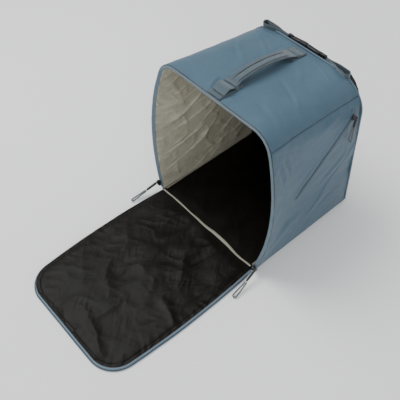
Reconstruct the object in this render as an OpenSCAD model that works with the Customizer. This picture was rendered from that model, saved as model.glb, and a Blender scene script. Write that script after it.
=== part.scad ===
// Ski boot bag: a soft, foam-lined body with a drop-down front door closed by a two-slider zip,
// an arched carry handle, a slanted zip pocket on each side, a webbing strap with a side-release
// buckle along the top rear edge, and a padded back with two shoulder straps.
// Millimetres, +Z up, +X to the bag's right-hand side, the mouth faces -Y.
// The origin is the middle of the base's underside.

/* [Body] */
// Width of the mouth at the floor
mouth_w = 315; // [260:1:380]
// Height of the mouth's rim above the floor
mouth_h = 398; // [320:1:450]
// Radius of the mouth's upper corners
mouth_r = 54; // [30:1:90]
// Outward bow of each side of the open mouth
mouth_bow = 24; // [0:1:35]
// Backward lean of the mouth in degrees
mouth_lean = 1.3; // [0:0.1:5]
// Width of the back
rear_w = 318; // [260:1:380]
// Height of the back
rear_h = 378; // [300:1:430]
// Radius of the back's upper corners
rear_r = 77; // [30:1:110]
// Depth of the body at the floor
depth_floor = 312; // [220:1:400]
// Depth of the body at the top
depth_top = 267; // [200:1:380]

/* [Layers] */
// Thickness of the outer fabric
fabric_t = 1.6; // [0.8:0.1:3]
// Thickness of the side and top foam
foam_t = 5; // [2:0.5:10]
// Thickness of the thin lining
lining_t = 1; // [0.6:0.1:2]
// Thickness of the base and of the door
slab_t = 10; // [8:0.5:16]

/* [Door] */
// Radius of the door's far corners
door_r = 64; // [30:1:100]
// Outward bow of the door's side edges
door_bow = 6; // [0:1:20]
// Width of the zip strip outside the door's padding
door_strip = 4.8; // [4:0.1:8]

/* [Zips] */
// Radius of a zip coil
coil_r = 1.2; // [0.8:0.1:2]
// Length of a main slider
slider_l = 15; // [10:0.5:20]
// Width of a main slider
slider_w = 9; // [7:0.5:12]
// Height of the main sliders above the floor with the door open
slider_z = 26; // [24:1:60]
// Length of a main pull's grip
pull_l = 30; // [15:1:45]
// Thickness of the cord in each pull
cord_d = 3.6; // [2:0.1:4]
// Length of a side pocket's zip
pocket_zip_l = 206; // [120:1:220]

/* [Handle] */
// Width of the handle
handle_w = 38; // [25:1:50]
// Height of the handle's arch above the top
handle_h = 17; // [10:1:60]
// Distance from the mouth to the handle's front end
handle_front = 22; // [15:1:60]
// Distance from the mouth to the handle's rear end
handle_rear = 246; // [180:1:260]

/* [Back] */
// Thickness of the back padding
pad_t = 16; // [8:1:25]
// Width of a shoulder strap
strap_w = 58; // [40:1:75]
// Width of the webbing strap at the top rear edge
web_w = 24; // [15:1:30]

/* [Hidden] */
mid_y = depth_floor/2;
gap = 0.1;
ns = 10; js = 4; nc = 10; nt = 6;
// Stations from the mouth (0) to the back (1), and how the mouth's bow fades out behind it.
vs = [0, 0.07, 0.15, 0.24, 0.34, 0.45, 0.72, 1];
nv = len(vs) - 1;
flare = 0.45;
function fade(v) = v < flare ? pow(1 - v/flare, 2) : 0;
hw = mouth_w/2;
rw = rear_w/2;
lean_rear = atan((depth_floor - depth_top)/rear_h);
inner_d = fabric_t + foam_t + lining_t + 3*gap;
pull_rest = 17;
pull_yaw = 11;

function lerp(a, b, t) = a + (b - a)*t;
// Arch profile: a bowed side, a corner and half of the top, as [x, z, angle of the outward normal].
function beta(zc, b) = b < 0.01 ? 0 : 2*atan(2*b/zc);
function zc_step(h, r, b, zc, n) = n == 0 ? zc : zc_step(h, r, b, h - r*(1 - sin(beta(zc, b))), n - 1);
function zc_of(h, r, b) = zc_step(h, r, b, h - r, 6);
function arc_r(h, r, b) = let(zc = zc_of(h, r, b)) zc/(2*sin(beta(zc, b)));
function half_arch(w, h, r, b, z0, fs) =
    let(zc = zc_of(h, r, b), be = beta(zc, b), flat_side = b < 0.01,
        rr = flat_side ? 0 : zc/(2*sin(be)),
        f0 = flat_side ? 0 : asin((z0 - zc/2)/rr),
        cx = w - r*cos(be), cz = zc - r*sin(be))
    concat(
        [for (i = [0:ns]) let(f = lerp(f0, be, i/ns))
            flat_side ? [w, lerp(z0, zc, i/ns), 0] : [w + rr*(cos(f) - cos(be)), zc/2 + rr*sin(f), f]],
        [for (j = [1:nc]) let(f = j <= js ? lerp(be, fs, j/js) : lerp(fs, 90, (j - js)/(nc - js)))
            [cx + r*cos(f), cz + r*sin(f), f]],
        [for (k = [1:nt]) [cx*(1 - k/nt), h, 90]]);
function front_half(z0) = half_arch(hw, mouth_h, mouth_r, mouth_bow, z0, 25);
function plain_half(z0) = half_arch(hw, mouth_h, mouth_r, 0, z0, 25);
function rear_half(z0) = half_arch(rw, rear_h, rear_r, 0, z0, 35);
function door_half(z0) = half_arch(hw, mouth_h, door_r, door_bow, z0, 40);
function inset(p, d) = [p[0] - d*cos(p[2]), p[1] - d*sin(p[2])];
// A point of the body between the mouth (v = 0) and the back (v = 1), d below the outer surface.
function body_pt(f, f0, r, v, d, s) =
    let(a = lerp(inset(f0, d), inset(f, d), fade(v)), c = inset(r, d))
    [s*lerp(a[0], c[0], v),
     lerp((a[1] - slab_t)*tan(mouth_lean) + 0.4, depth_floor - c[1]*tan(lean_rear), v),
     lerp(a[1], c[1], v)];
// A closed full arch from the right foot over the top to the left foot.
function full(h) = concat(h, [for (i = [len(h) - 2:-1:0]) [-h[i][0], h[i][1], 180 - h[i][2]]]);

// A curved sheet between two depths, over profile points i0 to i1, one side (s) of the body.
module side_sheet(i0, i1, s, v1, d0, d1, z0) {
    f = front_half(z0); f0 = plain_half(z0); r = rear_half(z0);
    nu = i1 - i0;
    m = (nu + 1)*(nv + 1);
    pts = [for (d = [d0, d1]) for (i = [i0:i1]) for (k = [0:nv]) body_pt(f[i], f0[i], r[i], v1*vs[k], d, s)];
    grid_solid(pts, nu, m, s > 0);
}
// The same, over the whole top from the seam on one side to the seam on the other.
module top_sheet(v1, d0, d1) {
    f = full(front_half(slab_t)); f0 = full(plain_half(slab_t)); r = full(rear_half(slab_t));
    i0 = ns + js; nu = len(f) - 1 - 2*i0;
    m = (nu + 1)*(nv + 1);
    pts = [for (d = [d0, d1]) for (i = [i0:i0 + nu]) for (k = [0:nv]) body_pt(f[i], f0[i], r[i], v1*vs[k], d, 1)];
    grid_solid(pts, nu, m, true);
}
module grid_solid(pts, nu, m, fwd) {
    w = nv + 1;
    outer = [for (i = [0:nu - 1]) for (k = [0:nv - 1]) let(a = i*w + k) each [[a, a + 1, a + w + 1], [a, a + w + 1, a + w]]];
    inner = [for (i = [0:nu - 1]) for (k = [0:nv - 1]) let(a = m + i*w + k) each [[a, a + w + 1, a + 1], [a, a + w, a + w + 1]]];
    e0 = [for (k = [0:nv - 1]) let(a = k) each [[a, m + a, m + a + 1], [a, m + a + 1, a + 1]]];
    e1 = [for (k = [0:nv - 1]) let(a = nu*w + k) each [[a, a + 1, m + a + 1], [a, m + a + 1, m + a]]];
    e2 = [for (i = [0:nu - 1]) let(a = i*w) each [[a, a + w, m + a + w], [a, m + a + w, m + a]]];
    e3 = [for (i = [0:nu - 1]) let(a = i*w + nv) each [[a, m + a + w, a + w], [a, m + a, m + a + w]]];
    faces = concat(outer, inner, e0, e1, e2, e3);
    polyhedron(points = pts, faces = fwd ? faces : [for (f = faces) [f[0], f[2], f[1]]]);
}
// A tube along points, with a given pair of ring directions at each.
module tube(c, u, w, r, n, flip = false) {
    pts = [for (i = [0:len(c) - 1]) for (k = [0:n - 1]) c[i] + r*(cos(360*k/n)*u[i] + sin(360*k/n)*w[i])];
    last = (len(c) - 1)*n;
    faces = concat(
        [[for (k = [0:n - 1]) k]], [[for (k = [n - 1:-1:0]) last + k]],
        [for (i = [0:len(c) - 2]) for (k = [0:n - 1]) let(a = i*n + k, b = i*n + (k + 1)%n) each [[a, a + n, b], [b, a + n, b + n]]]);
    polyhedron(points = pts, faces = flip ? [for (f = faces) [for (j = [len(f) - 1:-1:0]) f[j]]] : faces);
}
// Cord: a tube along any route, with rings square to it.
function unit(v) = v/norm(v);
function tangents(c) = [for (i = [0:len(c) - 1]) unit(c[min(i + 1, len(c) - 1)] - c[max(i - 1, 0)])];
module cord(c, r, side) {
    t = tangents(c);
    u = [for (i = [0:len(c) - 1]) unit(side - (side*t[i])*t[i])];
    w = [for (i = [0:len(c) - 1]) cross(t[i], u[i])];
    tube(c, u, w, r, 8, true);
}
module frame() translate([0, -mid_y, 0]) children();
module in_mouth() translate([0, 0, slab_t]) rotate([-mouth_lean, 0, 0]) translate([0, 0, -slab_t]) children();
module on_back() translate([0, depth_floor, 0]) rotate([lean_rear, 0, 0]) children();
// Plane of the top: it starts behind the mouth's foot because the mouth leans back.
top_y0 = (mouth_h - slab_t)*tan(mouth_lean) + 0.4;
top_slope = atan((mouth_h - rear_h)/(depth_floor - rear_h*tan(lean_rear) - top_y0));
module on_top() translate([0, top_y0, mouth_h + 0.1]) rotate([-top_slope, 0, 0]) translate([0, -top_y0, 0]) children();
// 2D outline of an arch, inset by d, closed along its foot at z0.
module outline(h, d, k = 1) {
    f = full(h);
    polygon([for (p = f) let(q = inset(p, d)) [q[0], q[1]*k]]);
}
module floor_outline(d, y0, y1) polygon([[-(hw - d), y0], [hw - d, y0], [rw - d, y1], [-(rw - d), y1]]);

// ---- shell ----
module top_panel() { color([0.38, 0.48, 0.54]) frame() top_sheet(1, 0, fabric_t); }
module right_side_panel() { color([0.37, 0.47, 0.53]) frame() side_sheet(0, ns + js, 1, 1, 0, fabric_t, fabric_t + gap); }
module left_side_panel() { color([0.37, 0.47, 0.53]) frame() side_sheet(0, ns + js, -1, 1, 0, fabric_t, fabric_t + gap); }
module base_panel() { color([0.1, 0.1, 0.11]) frame() linear_extrude(fabric_t) floor_outline(0, 0.6, depth_floor - 0.3); }
module back_panel() { color([0.35, 0.42, 0.47]) frame() on_back() translate([0, gap + fabric_t, 0]) rotate([90, 0, 0]) linear_extrude(fabric_t) outline(rear_half(fabric_t + 0.4), 0, 1/cos(lean_rear)); }
module top_foam() { color([0.75, 0.75, 0.72]) frame() top_sheet(0.985, fabric_t + gap, fabric_t + gap + foam_t); }
module right_side_foam() { color([0.75, 0.75, 0.72]) frame() side_sheet(0, ns + js, 1, 0.985, fabric_t + 4*gap, fabric_t + gap + foam_t, slab_t - 1.7); }
module left_side_foam() { color([0.75, 0.75, 0.72]) frame() side_sheet(0, ns + js, -1, 0.985, fabric_t + 4*gap, fabric_t + gap + foam_t, slab_t - 1.7); }
module base_board() { color([0.3, 0.3, 0.3]) frame() translate([0, 0, fabric_t + gap]) linear_extrude(slab_t - 1.8 - fabric_t - gap) floor_outline(fabric_t + 1.4, 0.8, depth_floor - 3); }
module back_board() { color([0.3, 0.3, 0.3]) frame() on_back() rotate([90, 0, 0]) translate([0, 0, 0.3]) linear_extrude(4.5) outline(rear_half(slab_t + 2.5), inner_d + 0.3, 1/cos(lean_rear)); }
module top_lining() { color([0.7, 0.69, 0.62]) frame() top_sheet(0.98, fabric_t + foam_t + 2*gap, inner_d - gap); }
module right_lining() { color([0.7, 0.69, 0.62]) frame() side_sheet(0, ns + js, 1, 0.98, fabric_t + foam_t + 2*gap, inner_d - gap, slab_t - 1.7); }
module left_lining() { color([0.7, 0.69, 0.62]) frame() side_sheet(0, ns + js, -1, 0.98, fabric_t + foam_t + 2*gap, inner_d - gap, slab_t - 1.7); }
module floor_liner() { color([0.12, 0.11, 0.1]) frame() translate([0, 0, slab_t - 1.7]) linear_extrude(1.7) floor_outline(inner_d + 0.3, 1.8, depth_floor - 8); }
module back_liner() { color([0.12, 0.11, 0.1]) frame() on_back() rotate([90, 0, 0]) translate([0, 0, 4.9]) linear_extrude(1.2) outline(rear_half(slab_t + 2.5), inner_d + 0.6, 1/cos(lean_rear)); }
module hinge_fold() { color([0.66, 0.64, 0.57]) frame() translate([-(hw - 9), 0, slab_t]) rotate([0, 90, 0]) cylinder(h = 2*hw - 18, r = 1.1, $fn = 32); }
module hinge_binding() { color([0.66, 0.64, 0.57]) frame() translate([-(hw - 9), 1.9, slab_t + gap]) cube([2*hw - 18, 9, 1.2]); }
module floor_seam(s) translate([s*(hw - inner_d - 2.4), 13, slab_t + 1.8]) rotate([-90, 0, -s*atan((rw - hw)/depth_floor)]) cylinder(h = depth_floor - 26, r = 1.6, $fn = 24);
module right_floor_binding() { color([0.66, 0.64, 0.57]) frame() floor_seam(1); }
module left_floor_binding() { color([0.66, 0.64, 0.57]) frame() floor_seam(-1); }
module rear_piping() {
    f = full(half_arch(rw, rear_h, rear_r, 0, 6, 60));
    color([0.3, 0.38, 0.44]) frame() on_back() tube(
        [for (p = f) let(q = inset(p, -2.4)) [q[0], 1, q[1]/cos(lean_rear)]],
        [for (p = f) [cos(p[2]), 0, sin(p[2])]], [for (p = f) [0, 1, 0]], 2, 8);
}

// ---- mouth zip ----
module rim_zip_tape() {
    color([0.5, 0.62, 0.7]) frame() in_mouth() translate([0, 0.2, 0]) rotate([90, 0, 0]) linear_extrude(1.9) difference() {
        outline(front_half(12), 1);
        outline(front_half(11), 2);
        translate([-400, 0]) square([800, 12]);
    }
}
module rim_zip_coil() {
    f = full(front_half(13));
    color([0.05, 0.05, 0.06]) frame() in_mouth() tube(
        [for (p = f) let(q = inset(p, 1.5)) [q[0], -3, q[1]]],
        [for (p = f) [cos(p[2]), 0, sin(p[2])]], [for (p = f) [0, 1, 0]], coil_r, 8);
}

// ---- door, flat on the floor in front of the mouth ----
module door_flat(d, z0 = slab_t + 1.6) mirror([0, 1, 0]) translate([0, -slab_t]) outline(door_half(z0), d);
module door_panel() { color([0.37, 0.47, 0.53]) frame() linear_extrude(fabric_t) door_flat(door_strip); }
module door_foam() { color([0.75, 0.75, 0.72]) frame() translate([0, 0, fabric_t + gap]) linear_extrude(slab_t - 1.8 - fabric_t - gap) door_flat(door_strip + 1.3); }
module door_liner() { color([0.12, 0.11, 0.1]) frame() translate([0, 0, slab_t - 1.7]) linear_extrude(1.7) door_flat(door_strip); }
module door_edge_band() { color([0.5, 0.62, 0.7]) frame() translate([0, 0, fabric_t + gap]) linear_extrude(slab_t - 1.8 - fabric_t - gap) difference() { door_flat(door_strip); door_flat(door_strip + 1.2, slab_t + 1); } }
module door_zip_tape() { color([0.5, 0.62, 0.7]) frame() translate([0, 0, 0.4]) linear_extrude(1.1) difference() { door_flat(1, slab_t + 8); door_flat(door_strip - gap, slab_t + 7); } }
module door_zip_coil() {
    f = full(door_half(slab_t + 9));
    color([0.05, 0.05, 0.06]) frame() tube(
        [for (p = f) let(q = inset(p, 1.5)) [q[0], slab_t - q[1], 2.8]],
        [for (p = f) [cos(p[2]), -sin(p[2]), 0]], [for (p = f) [0, 0, 1]], coil_r, 8, true);
}

// ---- main sliders: each rides the mouth's coil, built level with the arc's centre and turned down to its place ----
arc = arc_r(mouth_h, mouth_r, mouth_bow);
arc_zc = zc_of(mouth_h, mouth_r, mouth_bow);
arc_cx = hw - arc*cos(beta(arc_zc, mouth_bow));
slider_f = asin((slider_z - arc_zc/2)/arc);
module on_coil(s) in_mouth() mirror([s < 0 ? 1 : 0, 0, 0]) translate([arc_cx, 0, arc_zc/2]) rotate([0, -slider_f, 0]) translate([arc - 1.5, -3, 0]) children();
// The bail a pull hangs from: a bridge on two legs. X is away from the slider, the pull points to -Y.
module bail(base) {
    translate([-0.7, -1, -5.6]) cube([1.4, 2, 11.2]);
    translate([-base, -1, -5.6]) cube([base, 2, 1.2]);
    translate([-base, -1, 4.4]) cube([base, 2, 1.2]);
}
module slider_plate(x, t) translate([x, -2.1, 0]) rotate([0, 90, 0]) linear_extrude(t) union() {
    translate([-slider_l/2 + slider_w/2, 0]) circle(d = slider_w, $fn = 48);
    translate([slider_l/2 - slider_w/2 + 1, 0]) circle(d = slider_w - 2, $fn = 48);
    translate([-slider_l/2 + slider_w/2, -slider_w/2 + 1]) square([slider_l - slider_w + 1, slider_w - 2]);
}
module slider_body() {
    // outer plate, inner plate, and the post that parts the two coils
    slider_plate(1.7, 1.3);
    slider_plate(-2.8, 1.1);
    translate([-2.2, -2.55, 1]) cube([4.4, 0.9, 5]);
    translate([6.4, -2.1, 0]) bail(3.8);
}
module right_main_slider() { color([0.06, 0.06, 0.07]) frame() on_coil(1) slider_body(); }
module left_main_slider() { color([0.06, 0.06, 0.07]) frame() on_coil(-1) slider_body(); }
// The pull: a small ring round the bail's bridge, a neck and a moulded grip.
module pull_ring() {
    translate([-3, -4.2, -0.8]) cube([1.6, 8.4, 1.6]);
    translate([1.2, -4.2, -0.8]) cube([1.6, 8.4, 1.6]);
    translate([-3, -4.2, -0.8]) cube([5.8, 1.6, 1.6]);
    translate([-3, 2.6, -0.8]) cube([5.8, 1.6, 1.6]);
}
module pull(len, yaw) {
    pull_ring();
    translate([0, -4.1, 0]) rotate([0, 0, yaw]) difference() {
        translate([-2.4, -len, -3.2]) cube([5.2, len, 6.4]);
        translate([-3, -len + 3.6, 0]) rotate([0, 90, 0]) cylinder(h = 7, r = 1, $fn = 24);
    }
}
// Cord loop from the grip's end: out, round and back.
function loop_route(len, w, n) = concat(
    [for (i = [0:2]) [0.2 - lerp(0.25, 0.5, i/2)*w, -(len - w/2)*i/2, 0]],
    [for (i = [1:n - 1]) let(a = 180*i/n) [0.2 - w/2*cos(a), -(len - w/2) - w/2*sin(a), 0]],
    [for (i = [2:-1:0]) [0.2 + lerp(0.25, 0.5, i/2)*w, -(len - w/2)*i/2, 0]]);
module pull_cord(len, yaw, reach) translate([0, -4.1, 0]) rotate([0, 0, yaw]) translate([0, -len - 0.3, 0]) cord(loop_route(reach, 10, 8), cord_d/2, [0, 0, 1]);
module at_pull(s) on_coil(s) translate([6.4, -2.1, 0]) rotate([pull_rest, 0, 0]) children();
module right_main_pull() { color([0.05, 0.05, 0.06]) frame() at_pull(1) pull(pull_l, pull_yaw); }
module left_main_pull() { color([0.05, 0.05, 0.06]) frame() at_pull(-1) pull(pull_l, pull_yaw); }
module right_main_cord() { color([0.5, 0.52, 0.53]) frame() at_pull(1) pull_cord(pull_l, pull_yaw, 42); }
module left_main_cord() { color([0.5, 0.52, 0.53]) frame() at_pull(-1) pull_cord(pull_l, pull_yaw, 42); }

// ---- side pockets: a slanted zip on each side, its slider at the top ----
function side_x(y, z) = let(v = y/(depth_floor - z*tan(lean_rear)), t = z/(mouth_h - mouth_r))
    lerp(hw, rw, v) + mouth_bow*fade(v)*(1 - pow(2*t - 1, 2));
pk_top = [side_x(248, 322), 248, 322];
pk_bot = [side_x(105, 172), 105, 172];
pk_dir = unit(pk_bot - pk_top);
pk_n = unit(cross(pk_dir, cross([1, 0, 0], pk_dir)));
pk_s = cross(pk_n, pk_dir);
// Local frame: X out of the side, Y across the zip, Z down along the zip.
module on_pocket(s) mirror([s < 0 ? 1 : 0, 0, 0]) multmatrix([
    [pk_n[0], -pk_s[0], pk_dir[0], pk_top[0] + 0.9*pk_n[0]],
    [pk_n[1], -pk_s[1], pk_dir[1], pk_top[1] + 0.9*pk_n[1]],
    [pk_n[2], -pk_s[2], pk_dir[2], pk_top[2] + 0.9*pk_n[2]], [0, 0, 0, 1]]) children();
module pocket_tape() translate([0.6, -8, -6]) cube([0.9, 16, pocket_zip_l + 12]);
module right_pocket_tape() { color([0.5, 0.62, 0.7]) frame() on_pocket(1) pocket_tape(); }
module left_pocket_tape() { color([0.5, 0.62, 0.7]) frame() on_pocket(-1) pocket_tape(); }
module pocket_coil() translate([2.7, 0, 0]) cylinder(h = pocket_zip_l, r = 1, $fn = 24);
module right_pocket_coil() { color([0.05, 0.05, 0.06]) frame() on_pocket(1) pocket_coil(); }
module left_pocket_coil() { color([0.05, 0.05, 0.06]) frame() on_pocket(-1) pocket_coil(); }
module pocket_slider() translate([0, 0, 7]) difference() {
    translate([1.9, -4.2, -6]) cube([3.4, 8.4, 12]);
    translate([2.7, 0, -7]) cylinder(h = 14, r = 1.5, $fn = 24);
    translate([1.5, -5, -7]) cube([0.9, 10, 14]);
    translate([1.5, -1.3, -7]) cube([1.2, 2.6, 14]);
}
// The pocket pull hangs straight down from a bail set level on the slider.
pp = pk_top + 0.9*pk_n + 7*pk_dir + 8.6*pk_n;
module at_pocket_pull(s) mirror([s < 0 ? 1 : 0, 0, 0]) translate(pp) rotate([90, 0, 0]) children();
module right_pocket_slider() { color([0.06, 0.06, 0.07]) frame() { on_pocket(1) pocket_slider(); at_pocket_pull(1) bail(3.9); } }
module left_pocket_slider() { color([0.06, 0.06, 0.07]) frame() { on_pocket(-1) pocket_slider(); at_pocket_pull(-1) bail(3.9); } }
module right_pocket_pull() { color([0.05, 0.05, 0.06]) frame() at_pocket_pull(1) pull(19, 0); }
module left_pocket_pull() { color([0.05, 0.05, 0.06]) frame() at_pocket_pull(-1) pull(19, 0); }
module right_pocket_cord() { color([0.5, 0.52, 0.53]) frame() at_pocket_pull(1) pull_cord(19, 0, 40); }
module left_pocket_cord() { color([0.5, 0.52, 0.53]) frame() at_pocket_pull(-1) pull_cord(19, 0, 40); }

// ---- handle ----
hl = handle_rear - handle_front;
function grip_z(t) = handle_h*pow(sin(180*t), 1.1);
function grip_line(t0, t1, n) = [for (i = [0:n]) let(t = lerp(t0, t1, i/n)) [handle_front + hl*t, 3.2 + grip_z(t)]];
module ribbon(c, t) {
    m = len(c) - 1;
    nn = [for (i = [0:m]) let(d = unit(c[min(i + 1, m)] - c[max(i - 1, 0)])) [-d[1], d[0]]];
    polygon(concat([for (i = [0:m]) c[i] + t/2*nn[i]], [for (i = [m:-1:0]) c[i] - t/2*nn[i]]));
}
module handle_part(t0, t1, n, t, w) on_top() translate([-w/2, 0, 0]) rotate([90, 0, 90]) linear_extrude(w) ribbon(grip_line(t0, t1, n), t);
module handle_base_webbing() { color([0.42, 0.46, 0.48]) frame() on_top() { translate([-handle_w/2, handle_front - 8, 0.2]) cube([handle_w, 60, 1.5]); translate([-handle_w/2, handle_rear - 36, 0.2]) cube([handle_w, 44, 1.5]); } }
module handle_front_end() { color([0.42, 0.46, 0.48]) frame() handle_part(0.03, 0.16, 5, 2.4, handle_w); }
module handle_rear_end() { color([0.42, 0.46, 0.48]) frame() handle_part(0.84, 0.97, 5, 2.4, handle_w); }
module handle_grip() { color([0.42, 0.46, 0.48]) frame() handle_part(0.18, 0.82, 16, 5.5, handle_w - 8); }

// ---- webbing strap with its buckle along the top rear edge ----
module left_web_loop() { color([0.42, 0.46, 0.48]) frame() on_back() translate([0, 3.6, rear_h/cos(lean_rear) - web_w + 4]) { translate([-113, 0, 0]) cube([61, 1.5, web_w]); translate([-113, 3.7, 0]) cube([61, 1.5, web_w]); translate([-115, 0, 0]) cube([2.1, 5.2, web_w]); } }
module right_web_loop() { color([0.42, 0.46, 0.48]) frame() on_back() translate([0, 3.6, rear_h/cos(lean_rear) - web_w + 4]) { translate([52, 0, 0]) cube([56, 1.5, web_w]); translate([52, 3.7, 0]) cube([56, 1.5, web_w]); translate([107.9, 0, 0]) cube([2.1, 5.2, web_w]); } }
bz = rear_h/cos(lean_rear) + 4 - web_w/2;
module buckle_socket() { color([0.05, 0.05, 0.06]) frame() on_back() translate([0, 3.3, bz]) difference() {
    translate([-51.6, 0, -15]) cube([51.6, 8, 30]);
    translate([-34, 1.8, -10.5]) cube([36, 4.4, 21]);
    translate([-28, -1, -16]) cube([12, 10, 4.6]);
    translate([-28, -1, 11.4]) cube([12, 10, 4.6]);
    translate([-48.5, -1, -12.6]) cube([4.6, 10, 25.2]);
    translate([-41, -1, -12.6]) cube([4.6, 10, 25.2]);
} }
module buckle_plug() { color([0.05, 0.05, 0.06]) frame() on_back() translate([0, 3.3, bz]) difference() {
    union() {
        translate([0.5, 0, -15]) cube([51.1, 8, 30]);
        translate([-31, 2.3, -2]) cube([31.6, 3.4, 4]);
        translate([-30, 2.3, -9.6]) cube([30.6, 3.4, 3]);
        translate([-30, 2.3, 6.6]) cube([30.6, 3.4, 3]);
    }
    translate([4.5, 1.8, -9]) cube([22, 8, 18]);
    translate([32.5, -1, -12.6]) cube([5.6, 10, 25.2]);
    translate([42.5, -1, -12.6]) cube([5.6, 10, 25.2]);
} }

// ---- padded back and shoulder straps ----
module back_padding() { color([0.45, 0.43, 0.4]) frame() on_back() union() {
    translate([0, pad_t, 0]) rotate([90, 0, 0]) linear_extrude(pad_t - 1.9) intersection() { outline(rear_half(20), 16, 1/cos(lean_rear)); translate([-300, 26]) square([600, 320]); }
    translate([0, pad_t, 0]) rotate([90, 0, 0]) linear_extrude(pad_t - 12) intersection() { outline(rear_half(20), 10, 1/cos(lean_rear)); translate([-300, 330]) square([600, 47]); }
} }
module strap_shape(s) mirror([s < 0 ? 1 : 0, 0, 0]) rotate([90, 0, 0]) linear_extrude(10) polygon(concat(
    [for (i = [0:12]) let(t = i/12) [34 + 34*sin(90*t) + 0, 345 - 225*t]],
    [for (i = [12:-1:0]) let(t = i/12, w = lerp(strap_w, 40, t*t)) [34 + 34*sin(90*t) + w, 345 - 225*t]]));
module right_shoulder_strap() { color([0.25, 0.27, 0.29]) frame() on_back() translate([0, pad_t + 10.4, 0]) strap_shape(1); }
module left_shoulder_strap() { color([0.25, 0.27, 0.29]) frame() on_back() translate([0, pad_t + 10.4, 0]) strap_shape(-1); }
module strap_lock(s) mirror([s < 0 ? 1 : 0, 0, 0]) translate([88 - 16, pad_t + 1.2, 88]) difference() {
    cube([32, 6, 29]);
    translate([3.5, -1, 5]) cube([25, 8, 3.6]);
    translate([3.5, -1, 12.7]) cube([25, 8, 3.6]);
    translate([3.5, -1, 20.4]) cube([25, 8, 3.6]);
}
module right_strap_lock() { color([0.05, 0.05, 0.06]) frame() on_back() strap_lock(1); }
module left_strap_lock() { color([0.05, 0.05, 0.06]) frame() on_back() strap_lock(-1); }
module low_web(s) mirror([s < 0 ? 1 : 0, 0, 0]) translate([76, 0, 0]) { translate([0, pad_t + 2.6, 14]) cube([24, 1.6, 73.8]); translate([0, 1.9, 14]) cube([24, pad_t + 1, 1.8]); }
module right_low_webbing() { color([0.3, 0.32, 0.34]) frame() on_back() low_web(1); }
module left_low_webbing() { color([0.3, 0.32, 0.34]) frame() on_back() low_web(-1); }

top_panel();
right_side_panel();
left_side_panel();
base_panel();
back_panel();
top_foam();
right_side_foam();
left_side_foam();
base_board();
back_board();
top_lining();
right_lining();
left_lining();
floor_liner();
back_liner();
hinge_fold();
hinge_binding();
right_floor_binding();
left_floor_binding();
rear_piping();
rim_zip_tape();
rim_zip_coil();
door_panel();
door_foam();
door_liner();
door_edge_band();
door_zip_tape();
door_zip_coil();
right_main_slider();
left_main_slider();
right_main_pull();
left_main_pull();
right_main_cord();
left_main_cord();
right_pocket_tape();
left_pocket_tape();
right_pocket_coil();
left_pocket_coil();
right_pocket_slider();
left_pocket_slider();
right_pocket_pull();
left_pocket_pull();
right_pocket_cord();
left_pocket_cord();
handle_base_webbing();
handle_front_end();
handle_rear_end();
handle_grip();
left_web_loop();
right_web_loop();
buckle_socket();
buckle_plug();
back_padding();
right_shoulder_strap();
left_shoulder_strap();
right_strap_lock();
left_strap_lock();
right_low_webbing();
left_low_webbing();
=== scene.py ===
import bpy, math
import numpy as np
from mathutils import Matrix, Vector


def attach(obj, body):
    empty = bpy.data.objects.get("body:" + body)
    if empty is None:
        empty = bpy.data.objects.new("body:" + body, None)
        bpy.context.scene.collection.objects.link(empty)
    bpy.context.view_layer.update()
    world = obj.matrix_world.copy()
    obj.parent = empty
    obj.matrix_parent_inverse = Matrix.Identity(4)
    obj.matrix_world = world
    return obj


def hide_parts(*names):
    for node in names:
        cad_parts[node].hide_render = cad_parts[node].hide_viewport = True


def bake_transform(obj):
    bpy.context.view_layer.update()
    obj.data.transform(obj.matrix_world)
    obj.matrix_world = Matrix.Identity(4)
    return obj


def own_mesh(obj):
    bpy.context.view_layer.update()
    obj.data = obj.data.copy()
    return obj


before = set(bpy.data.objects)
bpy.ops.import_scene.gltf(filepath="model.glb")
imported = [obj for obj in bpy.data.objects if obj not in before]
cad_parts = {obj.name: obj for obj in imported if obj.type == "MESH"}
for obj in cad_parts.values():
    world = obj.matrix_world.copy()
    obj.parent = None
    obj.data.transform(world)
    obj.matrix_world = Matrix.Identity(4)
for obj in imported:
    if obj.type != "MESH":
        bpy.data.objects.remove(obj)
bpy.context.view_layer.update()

# Everything below is worked out in millimetres in the hinge frame (y = 0 at the fold) and written in metres.
MID = 156.0
HW, MH, MR, BOW, LEAN = 157.5, 398.0, 54.0, 30.0, math.radians(1.3)
RW, RH, RR, DF, DT = 159.0, 378.0, 77.0, 312.0, 267.0
SLAB, STRIP = 10.0, 4.8
LR = math.atan((DF - DT) / RH)
TOPS = math.atan((MH - RH) / DT)
FLARE = 0.45
rng = np.random.default_rng(11)

def to_m(P):
    P = np.asarray(P, float)
    return (P - np.array([0, MID, 0])) / 1000.0

# ---------------------------------------------------------------- smooth noise
def _hash(ix, iy, iz, seed):
    h = (ix.astype(np.int64) * 374761393 + iy.astype(np.int64) * 668265263 + iz.astype(np.int64) * 2147483647 + seed * 1274126177) & 0xFFFFFFFF
    h = ((h ^ (h >> 13)) * 1274126177) & 0xFFFFFFFF
    h = (h ^ (h >> 16)) & 0xFFFFFFFF
    return h / 4294967295.0 * 2 - 1

def vnoise(P, scale, seed=0):
    q = np.asarray(P, float) / np.asarray(scale, float)
    i = np.floor(q); f = q - i
    f = f * f * f * (f * (f * 6 - 15) + 10)
    out = 0
    for dx in (0, 1):
        for dy in (0, 1):
            for dz in (0, 1):
                w = (f[..., 0] if dx else 1 - f[..., 0]) * (f[..., 1] if dy else 1 - f[..., 1]) * (f[..., 2] if dz else 1 - f[..., 2])
                out = out + w * _hash(i[..., 0] + dx, i[..., 1] + dy, i[..., 2] + dz, seed)
    return out

def fbm(P, scale, seed=0, n=3, gain=0.5):
    s, a, o = np.asarray(scale, float), 1.0, 0
    for k in range(n):
        o = o + a * vnoise(P, s, seed + 17 * k)
        s = s / 2.03; a *= gain
    return o

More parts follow.
